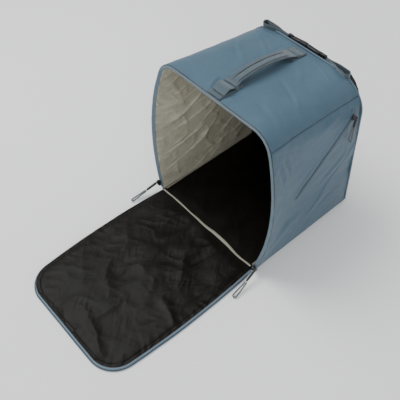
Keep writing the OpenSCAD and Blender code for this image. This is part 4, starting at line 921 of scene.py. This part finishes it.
C = door3(line[:, 0] - 1.7 * ln[:, 0], line[:, 1] - 1.7 * ln[:, 1], 2.4 + 0 * ls); Cn = np.tile([0, 0, 1.0], (len(C), 1))
keep_ = slice(5, -5)
o = coil_tube("door_coil", C[keep_], Cn[keep_], None, M["coil"], 0.8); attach(o, "door"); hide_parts("door_zip_coil")
# a fine black cord edge between the strip and the lining, a dark line of painted shadow where the door's thick edge is
# in shade, and two rows of stitches
C = door3(line[:, 0] - 6.4 * ln[:, 0], line[:, 1] - 6.4 * ln[:, 1], 7.7 + 0 * ls)
o = tube("door_edge_shadow_cord", C, 0.85, M["thread_dark"], 8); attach(o, "door")
zz = np.interp(1.0, [0, 1], [0, 1])
def top_at(x, z):
    # height of the door's lining nearest to a point
    k = np.argmin((X - x) ** 2 + (Z - z) ** 2); return top_z.reshape(-1)[k]
li = line[::3] - 11.4 * ln[::3]; hz = np.array([top_at(*p) for p in li])
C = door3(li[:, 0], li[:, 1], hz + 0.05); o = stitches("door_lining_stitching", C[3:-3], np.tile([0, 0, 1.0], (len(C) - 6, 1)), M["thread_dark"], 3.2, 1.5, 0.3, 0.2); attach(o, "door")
li = line - 3.2 * ln; C = door3(li[:, 0], li[:, 1], 2.75 + 0 * ls)
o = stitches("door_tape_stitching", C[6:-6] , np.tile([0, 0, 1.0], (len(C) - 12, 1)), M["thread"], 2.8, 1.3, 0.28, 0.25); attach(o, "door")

# ---------------------------------------------------------------- floor, hinge and base
def quad_grid(xw0, xw1, y0, y1, nx, ny):
    y = np.linspace(y0, y1, ny); u = np.linspace(-1, 1, nx); w = xw0 + (xw1 - xw0) * (y - y0) / (y1 - y0)
    return u[:, None] * w[None], y[None] + 0 * u[:, None]
Xf, Yf_ = quad_grid(HW - 8.2, RW - 8.2, 2.2, DF - 7.5, 120, 120)
q1 = np.stack([Xf * 0.7 + Yf_ * 0.7, Yf_ * 0.7 - Xf * 0.7, 0 * Xf], -1)
zf = 10.2 + 0.85 * facets(Xf, Yf_, 191) + crinkle(Xf, Yf_, 91, 0.2, 70, 9, 5, 56)
ed = np.minimum(np.minimum(HW - 8.2 - np.abs(Xf), DF - 7.5 - Yf_), Yf_ - 0); zf = 9.7 + (zf - 9.7) * smooth(0, 30, ed)
Pf = np.stack([Xf, Yf_, zf], -1); gf = grid_normals(Pf); gf *= np.sign(gf[..., 2:3])
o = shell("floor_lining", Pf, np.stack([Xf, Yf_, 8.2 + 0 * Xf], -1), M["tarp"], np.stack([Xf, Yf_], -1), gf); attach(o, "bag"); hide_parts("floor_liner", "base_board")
Xb, Yb = quad_grid(HW - 0.8, RW - 0.8, 1.2, DF + 0.2, 60, 60)
zb = 0.25 + 0.15 * fbm(np.stack([Xb, Yb, 0 * Xb], -1), (50, 50, 1), 97, 2); zb = np.maximum(zb, 0.02)
rb = 1.4 * np.exp(-np.minimum(HW - 0.8 - np.abs(Xb), 30) / 2.0)
Pb = np.stack([Xb, Yb, zb + rb * 0.5], -1); gb = grid_normals(Pb); gb *= -np.sign(gb[..., 2:3])
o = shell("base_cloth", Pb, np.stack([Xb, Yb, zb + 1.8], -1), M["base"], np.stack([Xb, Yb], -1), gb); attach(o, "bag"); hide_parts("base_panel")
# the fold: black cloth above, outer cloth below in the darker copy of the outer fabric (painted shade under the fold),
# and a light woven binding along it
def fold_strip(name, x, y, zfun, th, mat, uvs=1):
    Xs, Ys = np.meshgrid(x, y, indexing="ij"); Zs = zfun(Xs, Ys); P = np.stack([Xs, Ys, Zs], -1)
    g_ = grid_normals(P); g_ *= np.sign(g_[..., 2:3] + 1e-9) * (1 if th > 0 else -1)
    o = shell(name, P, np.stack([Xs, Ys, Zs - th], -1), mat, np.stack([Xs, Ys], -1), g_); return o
xs_ = np.linspace(-150, 150, 160)
def pn(X_, s, k): return vnoise(np.stack([X_, 0 * X_, 0 * X_], -1), (s, 1, 1), k)
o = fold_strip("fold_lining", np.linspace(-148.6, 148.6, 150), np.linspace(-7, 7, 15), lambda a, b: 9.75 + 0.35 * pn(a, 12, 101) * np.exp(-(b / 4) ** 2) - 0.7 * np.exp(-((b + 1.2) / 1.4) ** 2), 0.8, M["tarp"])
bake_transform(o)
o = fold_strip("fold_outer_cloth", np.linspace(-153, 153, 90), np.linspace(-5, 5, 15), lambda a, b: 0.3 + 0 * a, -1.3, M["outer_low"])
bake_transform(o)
def bw(X_):   # the binding is widest a little right of the middle
    return 3.7 + 3.6 * np.exp(-((X_ - 45) / 58) ** 2) + 0.7 * pn(X_, 30, 103)
def bind(name, x):   # a woven tape folded over the cloth edge, with both of its edges turned under
    a_ = np.radians(np.linspace(-152, 152, 23)); Xs, As = np.meshgrid(x, a_, indexing="ij"); w_ = bw(Xs)
    y0 = -1.6 + 1.1 * pn(Xs, 36, 105) - 1.5 * np.exp(-((Xs - 110) / 30) ** 2)
    hz_ = 1.15 + 0.3 * pn(Xs, 17, 107) + 0.7 * np.exp(-((Xs - 60) / 50) ** 2)
    def sec(k):   # k millimetres in from the face
        c = np.cos(As); Ys = y0 + w_ / 2 * (1 + np.sign(np.sin(As)) * np.abs(np.sin(As)) ** 0.8 * (1 - 2 * k / w_)); top = np.clip(c, 0, 1) ** 0.6 * hz_ - 0.25 * np.exp(-((As - 0.85) / 0.2) ** 2)
        return np.stack([Xs, Ys, 11.1 + top - 0.55 * np.clip(-c, 0, 1) ** 0.5 * 1.3 - k * np.sign(c + 1e-6) * np.abs(c) ** 0.5], -1)
    P = sec(0.0); Q = sec(0.35); g_ = grid_normals(P); g_ *= np.sign(g_[:, 11:12, 2:3] + 1e-9)
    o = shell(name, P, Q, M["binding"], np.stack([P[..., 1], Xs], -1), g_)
    C = P[:, 15]; st = stitches(name + "_stitching", C[2:-2], g_[2:-2, 15], M["binding"], 2.6, 1.4, 0.26, 0.2)
    return o, st
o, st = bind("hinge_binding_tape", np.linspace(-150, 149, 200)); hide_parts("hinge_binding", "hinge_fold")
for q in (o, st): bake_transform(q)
# bound seams between the floor and the side linings
for s, nm in ((1, "right"), (-1, "left")):
    t = np.linspace(0, 1, 120); yv = 8 + (DF - 20) * t; xv = (HW - 9.6) + (RW - HW) * t
    C = np.stack([s * (xv + 0.5 * pn(yv, 24, 111)), yv, 10.6 + 0.35 * pn(yv, 15, 113)], -1)
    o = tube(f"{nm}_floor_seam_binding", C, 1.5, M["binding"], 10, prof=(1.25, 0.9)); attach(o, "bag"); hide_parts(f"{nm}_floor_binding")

# ---------------------------------------------------------------- back
cl, sl_ = math.cos(LR), math.sin(LR)
def on_back(V):
    V = np.asarray(V, float); return np.stack([V[..., 0], DF + V[..., 1] * cl - V[..., 2] * sl_, V[..., 1] * sl_ + V[..., 2] * cl], -1)
def back3(off): return lambda X_, Z_, H_: on_back(np.stack([X_, off + H_, Z_ / cl], -1))
hb = half_plain(RW, RH, RR, 0, 4.0)
Xk, Zk, Dk = arch_grid(inset_half(hb, 0.6), 100, 120, 3.0)
hk = 0.4 + 0.5 * fbm(np.stack([Xk, Zk, 0 * Xk], -1), (60, 70, 1), 121, 3) * smooth(0, 20, Dk) - 0.6 * np.exp(-Dk / 3)
f3 = back3(0.0); Po = f3(Xk, Zk, hk); Pi = f3(Xk, Zk, hk * 0 - 1.6)
nb_ = on_back(np.array([0, 1.0, 0])) - on_back(np.array([0, 0, 0.0])); gk = grid_normals(Po); gk *= np.sign((gk * nb_).sum(-1, keepdims=True))
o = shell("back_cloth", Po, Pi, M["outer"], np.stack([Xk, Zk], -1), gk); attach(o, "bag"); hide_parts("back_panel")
# inside of the back: black lining
Xk, Zk, Dk = arch_grid(inset_half(hb, 8.0), 100, 110, 9.0)
q1 = np.stack([Xk * 0.8 + Zk * 0.6, Zk * 0.8 - Xk * 0.6, 0 * Xk], -1)
hk = 1.1 * facets(Xk, Zk, 231) + crinkle(Xk, Zk, 131, 0.3, 70, 10, 5, 56); hk = hk * smooth(0, 24, Dk)
Pi = on_back(np.stack([Xk, -6.3 + hk * 0 - np.maximum(hk, -0.6), Zk / cl], -1)); Pq = on_back(np.stack([Xk, -4.9 + 0 * Xk, Zk / cl], -1))
gk = grid_normals(Pi); gk *= -np.sign((gk * nb_).sum(-1, keepdims=True))
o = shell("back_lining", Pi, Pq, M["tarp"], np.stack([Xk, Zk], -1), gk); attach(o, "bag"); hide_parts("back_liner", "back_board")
line, ln, ls = full_line(half_plain(RW, RH, RR, 0, 6.0))
C = on_back(np.stack([line[:, 0] - 0.5 * ln[:, 0], 0.6 + 0.3 * vnoise(np.stack([ls, 0 * ls, 0 * ls], -1), (40, 1, 1), 141), (line[:, 1] - 0.5 * ln[:, 1]) / cl], -1))
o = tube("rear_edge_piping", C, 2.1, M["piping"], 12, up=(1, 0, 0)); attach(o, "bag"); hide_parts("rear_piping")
rs_, rn_ = interp_grid(OUT, 304.5), interp_grid(gn, 304.5); ixr = split(OUT, 0)
for key, nm in (("right_side", "right_rear_stitching"), ("upper", "rear_stitching"), ("left_side", "left_rear_stitching")):
    a, b = ixr[key]; stitch_along(nm, rs_[a:b][6 if key == "right_side" else 0:-6 if key == "left_side" else None], rn_[a:b][6 if key == "right_side" else 0:-6 if key == "left_side" else None], "bag", None if key == "upper" else key.split("_")[0], 0)

# padding against the back: a quilted pad with a raised middle and sewn channels
hp = half_plain(RW - 16, RH - 16, RR - 14, 0, 27.0)
hp = hp[hp[:, 1] <= 346]; hp2 = half_plain(RW - 16, 345.0, 46, 0, 27.0)
Xq, Zq, Dq = arch_grid(hp2, 120, 130, 27.0)
Dq = np.minimum(Dq, Zq - 27.0 + 0.0)
def channel(d, w=2.2, a=1.0): return a * np.exp(-(d / w) ** 2)
puff = 13.6 * (1 - np.exp(-Dq / 7.0)) + 1.3 * smooth(6, 30, Dq)
ch = channel(np.abs(Xq) - 26 - 10 * np.sin((Zq - 27) / 320 * math.pi), 3.0, 6.0) * smooth(40, 70, Zq) * (1 - smooth(300, 330, Zq)) + channel((Zq - 118), 3, 5.0) * (np.abs(Xq) > 30) * smooth(6, 16, Dq) + channel((Zq - 236), 3, 5.0) * (np.abs(Xq) > 30) * smooth(6, 16, Dq)
puff = puff - ch + 0.35 * fbm(np.stack([Xq, Zq, 0 * Xq], -1), (26, 30, 1), 151, 3)
Po = on_back(np.stack([Xq, 1.7 + np.minimum(puff, 14.2), Zq], -1)); Pi = on_back(np.stack([Xq, 1.6 + 0 * Xq, Zq], -1))
gk = grid_normals(Po); gk *= np.sign((gk * nb_).sum(-1, keepdims=True))
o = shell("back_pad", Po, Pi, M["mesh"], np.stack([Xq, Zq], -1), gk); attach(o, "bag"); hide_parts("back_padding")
# the pad's upper flap, which stands behind the strap
xf = np.linspace(-112, 112, 120); zf_ = np.linspace(322, 376, 26); Xs, Zs = np.meshgrid(xf, zf_, indexing="ij")
wz = np.interp(Zs, [322, 345, 362, 376], [1.25, 1.18, 1.08, 0.93]); Xs = Xs * wz
yy_ = 14.2 + 0.8 * np.sin((Zs - 322) / 54 * math.pi) + 0.5 * vnoise(np.stack([Xs, Zs, 0 * Xs], -1), (30, 20, 1), 155); ef = np.minimum(376 - Zs, 112 * wz - np.abs(Xs)); yy_ = yy_ - 1.4 * np.exp(-ef / 2.5)
Po = on_back(np.stack([Xs, yy_, Zs], -1)); Pi = on_back(np.stack([Xs, 12.1 + 0 * Xs, Zs], -1)); gk = grid_normals(Po); gk *= np.sign((gk * nb_).sum(-1, keepdims=True))
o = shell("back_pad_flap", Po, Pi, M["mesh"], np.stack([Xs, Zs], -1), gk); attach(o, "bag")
e1 = np.stack([Xs[:, -1], 13.2 + 0 * Xs[:, -1], Zs[:, -1] + 0.3], -1); e0 = np.stack([Xs[0, :], 13.2 + 0 * Xs[0], Zs[0]], -1); e2 = np.stack([Xs[-1, :], 13.2 + 0 * Xs[0], Zs[0]], -1)[::-1]
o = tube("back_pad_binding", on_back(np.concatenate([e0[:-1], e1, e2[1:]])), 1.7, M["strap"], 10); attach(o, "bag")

# shoulder straps: padded, bound, with ladder locks and webbing
for s, nm in ((1, "right"), (-1, "left")):
    t = np.linspace(0, 1, 90); u = np.linspace(-1, 1, 25); T_, U_ = np.meshgrid(t, u, indexing="ij")
    w = 58 + (40 - 58) * T_ ** 2; xc = 34 + 34 * np.sin(T_ * math.pi / 2) + w / 2; zc_l = 344 - 223 * T_
    rnd = np.sqrt(np.clip(1 - np.abs(2 * T_ - 1) ** 26, 0.02, 1))
    Xs = s * (xc + U_ * (w / 2 - 0.6) * rnd); Zs = zc_l + 0 * Xs
    th = 9.2 * (1 - np.abs(U_) ** 4) ** 0.5 * (1 - np.abs(2 * T_ - 1) ** 14) ** 0.5 + 0.4
    th = th - 2.4 * (np.exp(-((np.abs(U_) - 0.72) / 0.06) ** 2)) * (1 - np.abs(2 * T_ - 1) ** 8) - 1.2 * np.exp(-((T_ - 0.5) / 0.006) ** 2) * (np.abs(U_) < 0.72)
    Po = on_back(np.stack([Xs, 16.6 + np.maximum(th, 0.5), Zs], -1)); Pi = on_back(np.stack([Xs, 16.5 + 0 * Xs, Zs], -1)); gk = grid_normals(Po); gk *= np.sign((gk * nb_).sum(-1, keepdims=True))
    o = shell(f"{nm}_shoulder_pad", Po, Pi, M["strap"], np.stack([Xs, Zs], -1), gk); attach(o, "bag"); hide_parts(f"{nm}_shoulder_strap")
    ring = np.concatenate([np.stack([Xs[:, 0], Zs[:, 0]], -1), np.stack([Xs[-1, 1:-1], Zs[-1, 1:-1]], -1), np.stack([Xs[::-1, -1], Zs[::-1, -1]], -1), np.stack([Xs[0, -2:0:-1], Zs[0, -2:0:-1]], -1)])
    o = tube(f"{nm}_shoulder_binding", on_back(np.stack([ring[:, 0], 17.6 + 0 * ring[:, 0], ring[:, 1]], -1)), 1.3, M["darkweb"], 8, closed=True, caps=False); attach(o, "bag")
    # webbing run down the middle of the strap
    tt = np.linspace(0.03, 0.985, 60); xm = s * (34 + 34 * np.sin(tt * math.pi / 2) + (58 + (40 - 58) * tt ** 2) / 2)
    thm = 9.2 * (1 - np.abs(2 * tt - 1) ** 14) ** 0.5 + 0.4
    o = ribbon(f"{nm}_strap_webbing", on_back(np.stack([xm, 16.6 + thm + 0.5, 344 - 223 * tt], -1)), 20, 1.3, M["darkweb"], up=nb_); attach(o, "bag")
    # ladder lock: a frame with three bars
    def lk(V, s=s): return on_back((np.asarray(V, float) + [88, 0, 0]) * [s, 1, 1])
    fr_ = [box_part(-16, -12.5, 17.4, 22.8, 88, 117, 1.2), box_part(12.5, 16, 17.4, 22.8, 88, 117, 1.2)]
    for z in (88.0, 96.8, 104.6, 112.4): fr_.append(box_part(-13, 13, 18.0, 22.2, z, z + 4.3, 1.0))
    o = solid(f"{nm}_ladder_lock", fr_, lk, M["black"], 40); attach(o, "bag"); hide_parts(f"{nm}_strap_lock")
    zz_ = np.linspace(15, 92, 44); yy2 = 19.4 + 0.5 * np.sin(zz_ / 14); 
    P_ = np.concatenate([np.stack([88 * s + 0 * zz_, yy2, zz_], -1)[::-1], [[88 * s, 17.5, 13.9], [88 * s, 13, 14.2], [88 * s, 8, 14.6], [88 * s, 2.6, 15.0]]])
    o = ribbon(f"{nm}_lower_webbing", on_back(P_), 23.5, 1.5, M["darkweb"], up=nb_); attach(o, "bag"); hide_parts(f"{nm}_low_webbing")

# ---------------------------------------------------------------- strap with its buckle
bz = RH / cl + 4 - 12
def strap_loop(name, x0, x1, body, node, sgn, sag=0.0, op=15.0):
    """A webbing loop: two layers side by side at the buckle that part into a drop-shaped loop at the outer end."""
    t = np.linspace(0, 1, 46); xa = x0 + (x1 - x0) * t
    w = smooth(0.12, 0.92, t); half_ = 1.0 + 0.5 * op * w
    yc = 6.4 - 0.34 * op * w; zc = bz + 2.5 * w * (1 - w) * 3 + (5.0 - sag) * w
    l1 = np.stack([xa, yc - half_, zc + 1.5 * w], -1); l2 = np.stack([xa[::-1], (yc + half_)[::-1], zc[::-1] - 1.0 * w[::-1]], -1)
    a = np.linspace(-math.pi / 2, math.pi / 2, 19)[1:-1]; turn = np.stack([x1 + sgn * 0.5 * op * np.cos(a) * 0.8, yc[-1] + half_[-1] * np.sin(a), zc[-1] + 1.5 - 1.25 * (1 + np.sin(a))], -1)
    C = np.concatenate([l1, turn, l2]); C = np.array([C[0]] + [C[k] for k in range(1, len(C)) if np.linalg.norm(C[k] - C[k - 1]) > 0.05])
    L = np.concatenate([[0], np.cumsum(np.linalg.norm(np.diff(C, axis=0), axis=1))]); s_ = np.linspace(0, L[-1], 120); C = np.stack([np.interp(s_, L, C[:, k]) for k in range(3)], -1)
    for _ in range(4): C[1:-1] = 0.25 * C[:-2] + 0.5 * C[1:-1] + 0.25 * C[2:]
    P = on_back(C); T = np.gradient(P, axis=0); T /= np.linalg.norm(T, axis=1, keepdims=True)
    up = on_back(np.array([0, 0, 1.0])) - on_back(np.zeros(3)); W = up - (T @ up)[:, None] * T; W /= np.linalg.norm(W, axis=1, keepdims=True); U = np.cross(W, T)
    xs = np.linspace(-1, 1, 11); ring = np.concatenate([np.stack([xs, (1 - np.abs(xs) ** 10) ** 0.5 * 0.5], -1)[:-1], np.stack([xs[::-1], -(1 - np.abs(xs[::-1]) ** 10) ** 0.5 * 0.5], -1)[:-1]]); n = len(ring)
    wd = 12.0 - 0.8 * np.sin(s_ / s_[-1] * math.pi)
    V = P[:, None] + ring[None, :, 0:1] * wd[:, None, None] * W[:, None] + ring[None, :, 1:2] * 1.5 * U[:, None]
    k = len(P); i_, j_ = np.meshgrid(np.arange(k - 1), np.arange(n), indexing="ij")
    F = np.stack([i_ * n + j_, i_ * n + (j_ + 1) % n, (i_ + 1) * n + (j_ + 1) % n, (i_ + 1) * n + j_], -1).reshape(-1, 4).tolist() + [list(range(n))[::-1], list(range((k - 1) * n, k * n))]
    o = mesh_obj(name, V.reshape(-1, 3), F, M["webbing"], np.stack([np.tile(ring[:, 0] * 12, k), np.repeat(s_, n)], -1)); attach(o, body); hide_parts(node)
strap_loop("left_strap_loop", -50.5, -112.5, "bag", "left_web_loop", -1, 1.0, 13.0)
strap_loop("right_strap_loop", 50.5, 109.0, "plug", "right_web_loop", 1, 3.5, 13.0)
def bk(V): return on_back(np.asarray(V, float) + [0, 3.3, bz])
def tapered(x0, x1, y0, y1, h0, h1, bev=1.2):
    V, F = box_part(x0, x1, y0, y1, -1, 1, 0); V = V.copy()
    import bmesh
    bm = bmesh.new(); vs = [bm.verts.new((v[0], v[1], v[2] * (h0 + (h1 - h0) * (v[0] - x0) / (x1 - x0)))) for v in V]
    for f in F: bm.faces.new([vs[i] for i in f])
    bmesh.ops.bevel(bm, geom=bm.edges[:] + bm.verts[:], offset=bev, segments=3, profile=0.5, affect="EDGES"); bm.verts.ensure_lookup_table(); bm.verts.index_update()
    V2 = np.array([v.co[:] for v in bm.verts]); F2 = [[v.index for v in f.verts] for f in bm.faces]; bm.free(); return V2, F2
so = [tapered(-42.6, -15.5, 0, 8, 12.0, 14.6), box_part(-16, -0.2, 0, 1.7, -14.6, 14.6, .5), box_part(-16, -0.2, 6.3, 8, -14.6, 14.6, .5), box_part(-16, -0.2, 1.4, 6.6, -14.8, -13.0, .4), box_part(-16, -0.2, 1.4, 6.6, 13.0, 14.8, .4),
      box_part(-51.4, -48.2, 1.0, 7.0, -14.6, 14.6, 1.1), box_part(-50, -40, 1.6, 6.6, -14.8, -12.4, .8), box_part(-50, -40, 1.6, 6.6, 12.4, 14.8, .8), box_part(-44.5, -40.5, 1.0, 7.0, -13, 13, .9)]
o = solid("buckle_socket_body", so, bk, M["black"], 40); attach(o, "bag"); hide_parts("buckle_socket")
pl_ = [tapered(0.7, 30, 0.2, 7.8, 14.6, 13.0), box_part(29, 33.4, 0.8, 7.2, -13.4, 13.4, .9), box_part(37.6, 42.2, 1.0, 7.0, -13.4, 13.4, .9), box_part(47.8, 51.4, 1.0, 7.0, -14.4, 14.4, 1.0), box_part(29, 50, 1.4, 6.6, -14.8, -12.5, .8), box_part(29, 50, 1.4, 6.6, 12.5, 14.8, .8),
       box_part(-31, 1.5, 2.4, 5.6, -1.9, 1.9, .6), box_part(-30, 1.5, 2.4, 5.6, -9.4, -6.7, .7), box_part(-30, 1.5, 2.4, 5.6, 6.7, 9.4, .7)]
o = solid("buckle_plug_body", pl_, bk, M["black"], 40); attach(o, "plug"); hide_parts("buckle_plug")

# ---------------------------------------------------------------- handle
TY0 = (MH - SLAB) * math.tan(LEAN) + 0.4
TSL = math.atan((MH - RH) / (DF - RH * math.tan(LR) - TY0))
ct, st_ = math.cos(TSL), math.sin(TSL)
def on_top(V):
    V = np.asarray(V, float); y = V[..., 1] - TY0; return np.stack([V[..., 0], TY0 + y * ct + V[..., 2] * st_, MH + 0.1 - y * st_ + V[..., 2] * ct], -1)
nt3 = on_top(np.array([0, 0, 1.0])) - on_top(np.zeros(3))
def top_h(x, y):
    """Height of the outer cloth above the plain top, near the middle."""
    i = np.argmin(np.abs(P0[:, 60, 0] - x)); j = np.argmin(np.abs(ys - y)); return H[i, j]
for nm, ya, yb_ in (("front", 13.0, 74.0), ("rear", 210.0, 254.0)):
    yb = np.linspace(ya, yb_, 50); hb_ = np.array([top_h(0, y) for y in yb]); hb_ = np.convolve(np.pad(hb_, 4, "edge"), np.ones(9) / 9, "valid")
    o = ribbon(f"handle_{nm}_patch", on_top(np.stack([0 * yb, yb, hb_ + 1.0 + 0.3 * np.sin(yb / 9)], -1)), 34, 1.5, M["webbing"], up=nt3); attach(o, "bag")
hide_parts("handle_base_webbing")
def gz(t): return 17 * np.sin(math.pi * np.clip(t, 0, 1)) ** 1.1 + 5.0 * np.exp(-((t - 0.07) / 0.036) ** 2) - 2.6 * np.exp(-((t - 0.165) / 0.05) ** 2)
def hpt(t): t = np.asarray(t, float); return np.stack([0 * t, 22 + 224 * t, 3.4 + gz(t)], -1)
def folded(name, t0, t1, wfun, tfun, n, gap_fun):
    """The handle's webbing, folded lengthwise: a rounded section with a closing seam along one side of the top."""
    tt = np.linspace(t0, t1, n); C = on_top(hpt(tt)); T = np.gradient(C, axis=0); T /= np.linalg.norm(T, axis=1, keepdims=True)
    X3 = np.array([1.0, 0, 0]); W = np.tile(X3, (n, 1)); U = np.cross(T, W); U *= np.sign((U * nt3).sum(-1, keepdims=True) + 1e-9); U /= np.linalg.norm(U, axis=1, keepdims=True)
    m = 44; a = np.arange(m) / m * 2 * math.pi; cx, sz = np.cos(a), np.sin(a)
    sx = np.sign(cx) * np.abs(cx) ** 0.75; sy = np.sign(sz) * np.abs(sz) ** 0.62
    w = np.array([wfun(q) for q in tt])[:, None] / 2; th = np.array([tfun(q) for q in tt])[:, None] / 2; gp = np.array([gap_fun(q) for q in tt])[:, None]
    xx = sx[None] * w; yy = sy[None] * th
    groove = -1.5 * gp * np.exp(-((xx + 3.5) / 1.3) ** 2) * (sy[None] > 0.3) + 0.7 * gp * np.exp(-((xx + 6.8) / 2.2) ** 2) * (sy[None] > 0.3)
    yy = yy + groove + 0.35 * np.sin(tt * 46 + 2 * np.sin(tt * 17))[:, None] * gp * np.exp(-((xx + 4) / 7) ** 2)
    V = C[:, None] + xx[..., None] * W[:, None] + yy[..., None] * U[:, None]
    i, j = np.meshgrid(np.arange(n - 1), np.arange(m), indexing="ij")
    F = np.stack([i * m + j, i * m + (j + 1) % m, (i + 1) * m + (j + 1) % m, (i + 1) * m + j], -1).reshape(-1, 4).tolist(); F += [list(range(m))[::-1], list(range((n - 1) * m, n * m))]
    L = np.concatenate([[0], np.cumsum(np.linalg.norm(np.diff(C, axis=0), axis=1))])
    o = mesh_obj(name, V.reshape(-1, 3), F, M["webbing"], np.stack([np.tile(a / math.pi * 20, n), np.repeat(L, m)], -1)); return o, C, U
wf = lambda t: 26 + 7.0 * (1 - smooth(0.10, 0.24, t)) + 7.0 * smooth(0.76, 0.90, t)
tf = lambda t: 1.9 + 5.2 * smooth(0.10, 0.26, t) * (1 - smooth(0.74, 0.90, t))
gf_ = lambda t: smooth(0.14, 0.28, t) * (1 - smooth(0.72, 0.86, t))
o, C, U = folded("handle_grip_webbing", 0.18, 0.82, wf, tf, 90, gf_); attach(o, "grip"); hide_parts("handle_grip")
for xo, nm in ((-3.6, "handle_fold_seam"), (9.6, "handle_edge_seam")):
    tq = np.array([tf(q) for q in np.linspace(0.18, 0.82, 90)])[2:-2, None]; drop = 0.75 if xo < 0 else 0.55
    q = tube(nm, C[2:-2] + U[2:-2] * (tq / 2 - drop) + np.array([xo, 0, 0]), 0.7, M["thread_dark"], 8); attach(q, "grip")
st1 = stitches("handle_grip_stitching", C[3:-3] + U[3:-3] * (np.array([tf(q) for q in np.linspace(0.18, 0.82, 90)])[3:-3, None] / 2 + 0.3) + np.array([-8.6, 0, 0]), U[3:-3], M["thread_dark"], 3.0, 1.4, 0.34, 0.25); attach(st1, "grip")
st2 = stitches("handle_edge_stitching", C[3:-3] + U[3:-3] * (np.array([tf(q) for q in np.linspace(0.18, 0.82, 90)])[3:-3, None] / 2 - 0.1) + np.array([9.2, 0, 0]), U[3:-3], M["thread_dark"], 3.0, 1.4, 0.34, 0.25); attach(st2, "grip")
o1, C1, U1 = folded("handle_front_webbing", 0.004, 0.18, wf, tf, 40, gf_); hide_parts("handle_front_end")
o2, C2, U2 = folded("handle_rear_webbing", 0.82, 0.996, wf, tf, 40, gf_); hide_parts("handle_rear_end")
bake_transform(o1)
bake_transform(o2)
# a folded keeper across each end, and box stitches
for nm, yk, ob in (("front", 57.0, o1), ("rear", 229.0, o2)):
    xk = np.linspace(-17.5, 17.5, 50); tk = (yk - 22) / 224; top_k = 3.4 + float(gz(tk)) + 0.5 * tf(tk) + 0.9
    zk = 1.9 + (top_k - 1.9) * (1 - smooth(13.2, 17.2, np.abs(xk))) + 0.5 * np.cos(xk / 4.2) * (np.abs(xk) < 13)
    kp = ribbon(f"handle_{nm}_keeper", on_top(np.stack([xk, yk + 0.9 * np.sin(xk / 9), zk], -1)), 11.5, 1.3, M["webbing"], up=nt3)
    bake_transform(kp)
# box stitches at both ends
def bar(name, y, w=34, rows=2):
    for k in range(rows):
        xs2 = np.linspace(-w / 2, w / 2, 40); hh = top_h(0, y)
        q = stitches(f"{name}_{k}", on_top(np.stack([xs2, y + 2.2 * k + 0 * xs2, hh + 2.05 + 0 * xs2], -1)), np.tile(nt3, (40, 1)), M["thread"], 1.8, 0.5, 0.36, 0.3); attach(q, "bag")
bar("handle_front_bar", 16.5); bar("handle_front_bar_b", 42); bar("handle_rear_bar", 249.5); bar("handle_rear_bar_b", 226)

# ---------------------------------------------------------------- side pocket zips: two lips of cloth with the coil between
for s, nm in ((1, "right"), (-1, "left")):
    g = on_pocket(s); z = np.linspace(-5, 211.5, 140)
    def surf_h(yv, zv):
        # height of the outer cloth above the pocket's own plane, sampled from the grid
        P = g(np.stack([0 * yv, yv, zv], -1)); sel = OUT[:, :, 0] * s > 100
        G = OUT[sel]; out = []
        for p in P.reshape(-1, 3):
            d = (G[:, 1] - p[1]) ** 2 + (G[:, 2] - p[2]) ** 2; k = np.argpartition(d, 4)[:4]; w = 1 / (d[k] + 0.3); out.append(((G[k, 0] * w).sum() / w.sum()) * s)
        return np.array(out).reshape(yv.shape)
    base = surf_h(0 * z, z) - (pk_top[0] + 0.9)
    base = np.convolve(np.pad(base, 5, "edge"), np.ones(11) / 11, "valid")
    for lip, tag in ((1, "rear"), (-1, "front")):
        v = np.array([1.35, 1.4, 1.55, 1.9, 2.6, 3.6, 5.0, 6.4, 7.8, 9.2, 10.2]); Zg, Vg = np.meshgrid(z, v, indexing="ij")
        wv = 0.35 * vnoise(np.stack([Zg, 0 * Zg, 0 * Zg], -1), (26, 1, 1), 161 + lip)
        hgt = np.interp(Vg, [1.35, 1.4, 1.55, 1.9, 2.6, 3.6, 5, 6.4, 7.8, 9.2, 10.2], [0.5, 0.9, 1.3, 1.5, 1.45, 1.2, 1.1, 0.95, 0.6, 0.1, -0.6]) + 0.25 * vnoise(np.stack([Zg, 0 * Zg, 0 * Zg], -1), (8, 1, 1), 163 + lip) * (Vg > 3)
        endp = smooth(-5, 0, Zg) * (1 - smooth(206, 211.5, Zg))
        P = g(np.stack([base[:, None] + hgt * (0.25 + 0.75 * endp), lip * (Vg + wv + 0.25 * lip), Zg], -1)); Q = g(np.stack([base[:, None] + np.minimum(hgt * (0.25 + 0.75 * endp) - 1.0, -0.2), lip * (Vg + wv + 0.25 * lip), Zg], -1))
        gg = grid_normals(P); gg *= np.sign(gg[..., 0:1] * s + 1e-9)
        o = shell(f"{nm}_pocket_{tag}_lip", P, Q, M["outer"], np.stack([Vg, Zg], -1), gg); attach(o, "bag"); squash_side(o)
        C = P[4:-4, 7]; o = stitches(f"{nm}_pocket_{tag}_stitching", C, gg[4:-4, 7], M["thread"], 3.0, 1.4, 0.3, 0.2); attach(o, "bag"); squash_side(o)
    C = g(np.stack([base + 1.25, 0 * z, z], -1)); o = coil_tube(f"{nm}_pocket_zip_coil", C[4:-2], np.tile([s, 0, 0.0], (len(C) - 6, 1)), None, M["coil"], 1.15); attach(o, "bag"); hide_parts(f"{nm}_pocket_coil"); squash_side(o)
    v = np.linspace(-3, 3, 5); Zg, Vg = np.meshgrid(z, v, indexing="ij"); P = g(np.stack([base[:, None] + 0.75 + 0 * Vg, Vg, Zg], -1)); Q = g(np.stack([base[:, None] + 0.2 + 0 * Vg, Vg, Zg], -1))
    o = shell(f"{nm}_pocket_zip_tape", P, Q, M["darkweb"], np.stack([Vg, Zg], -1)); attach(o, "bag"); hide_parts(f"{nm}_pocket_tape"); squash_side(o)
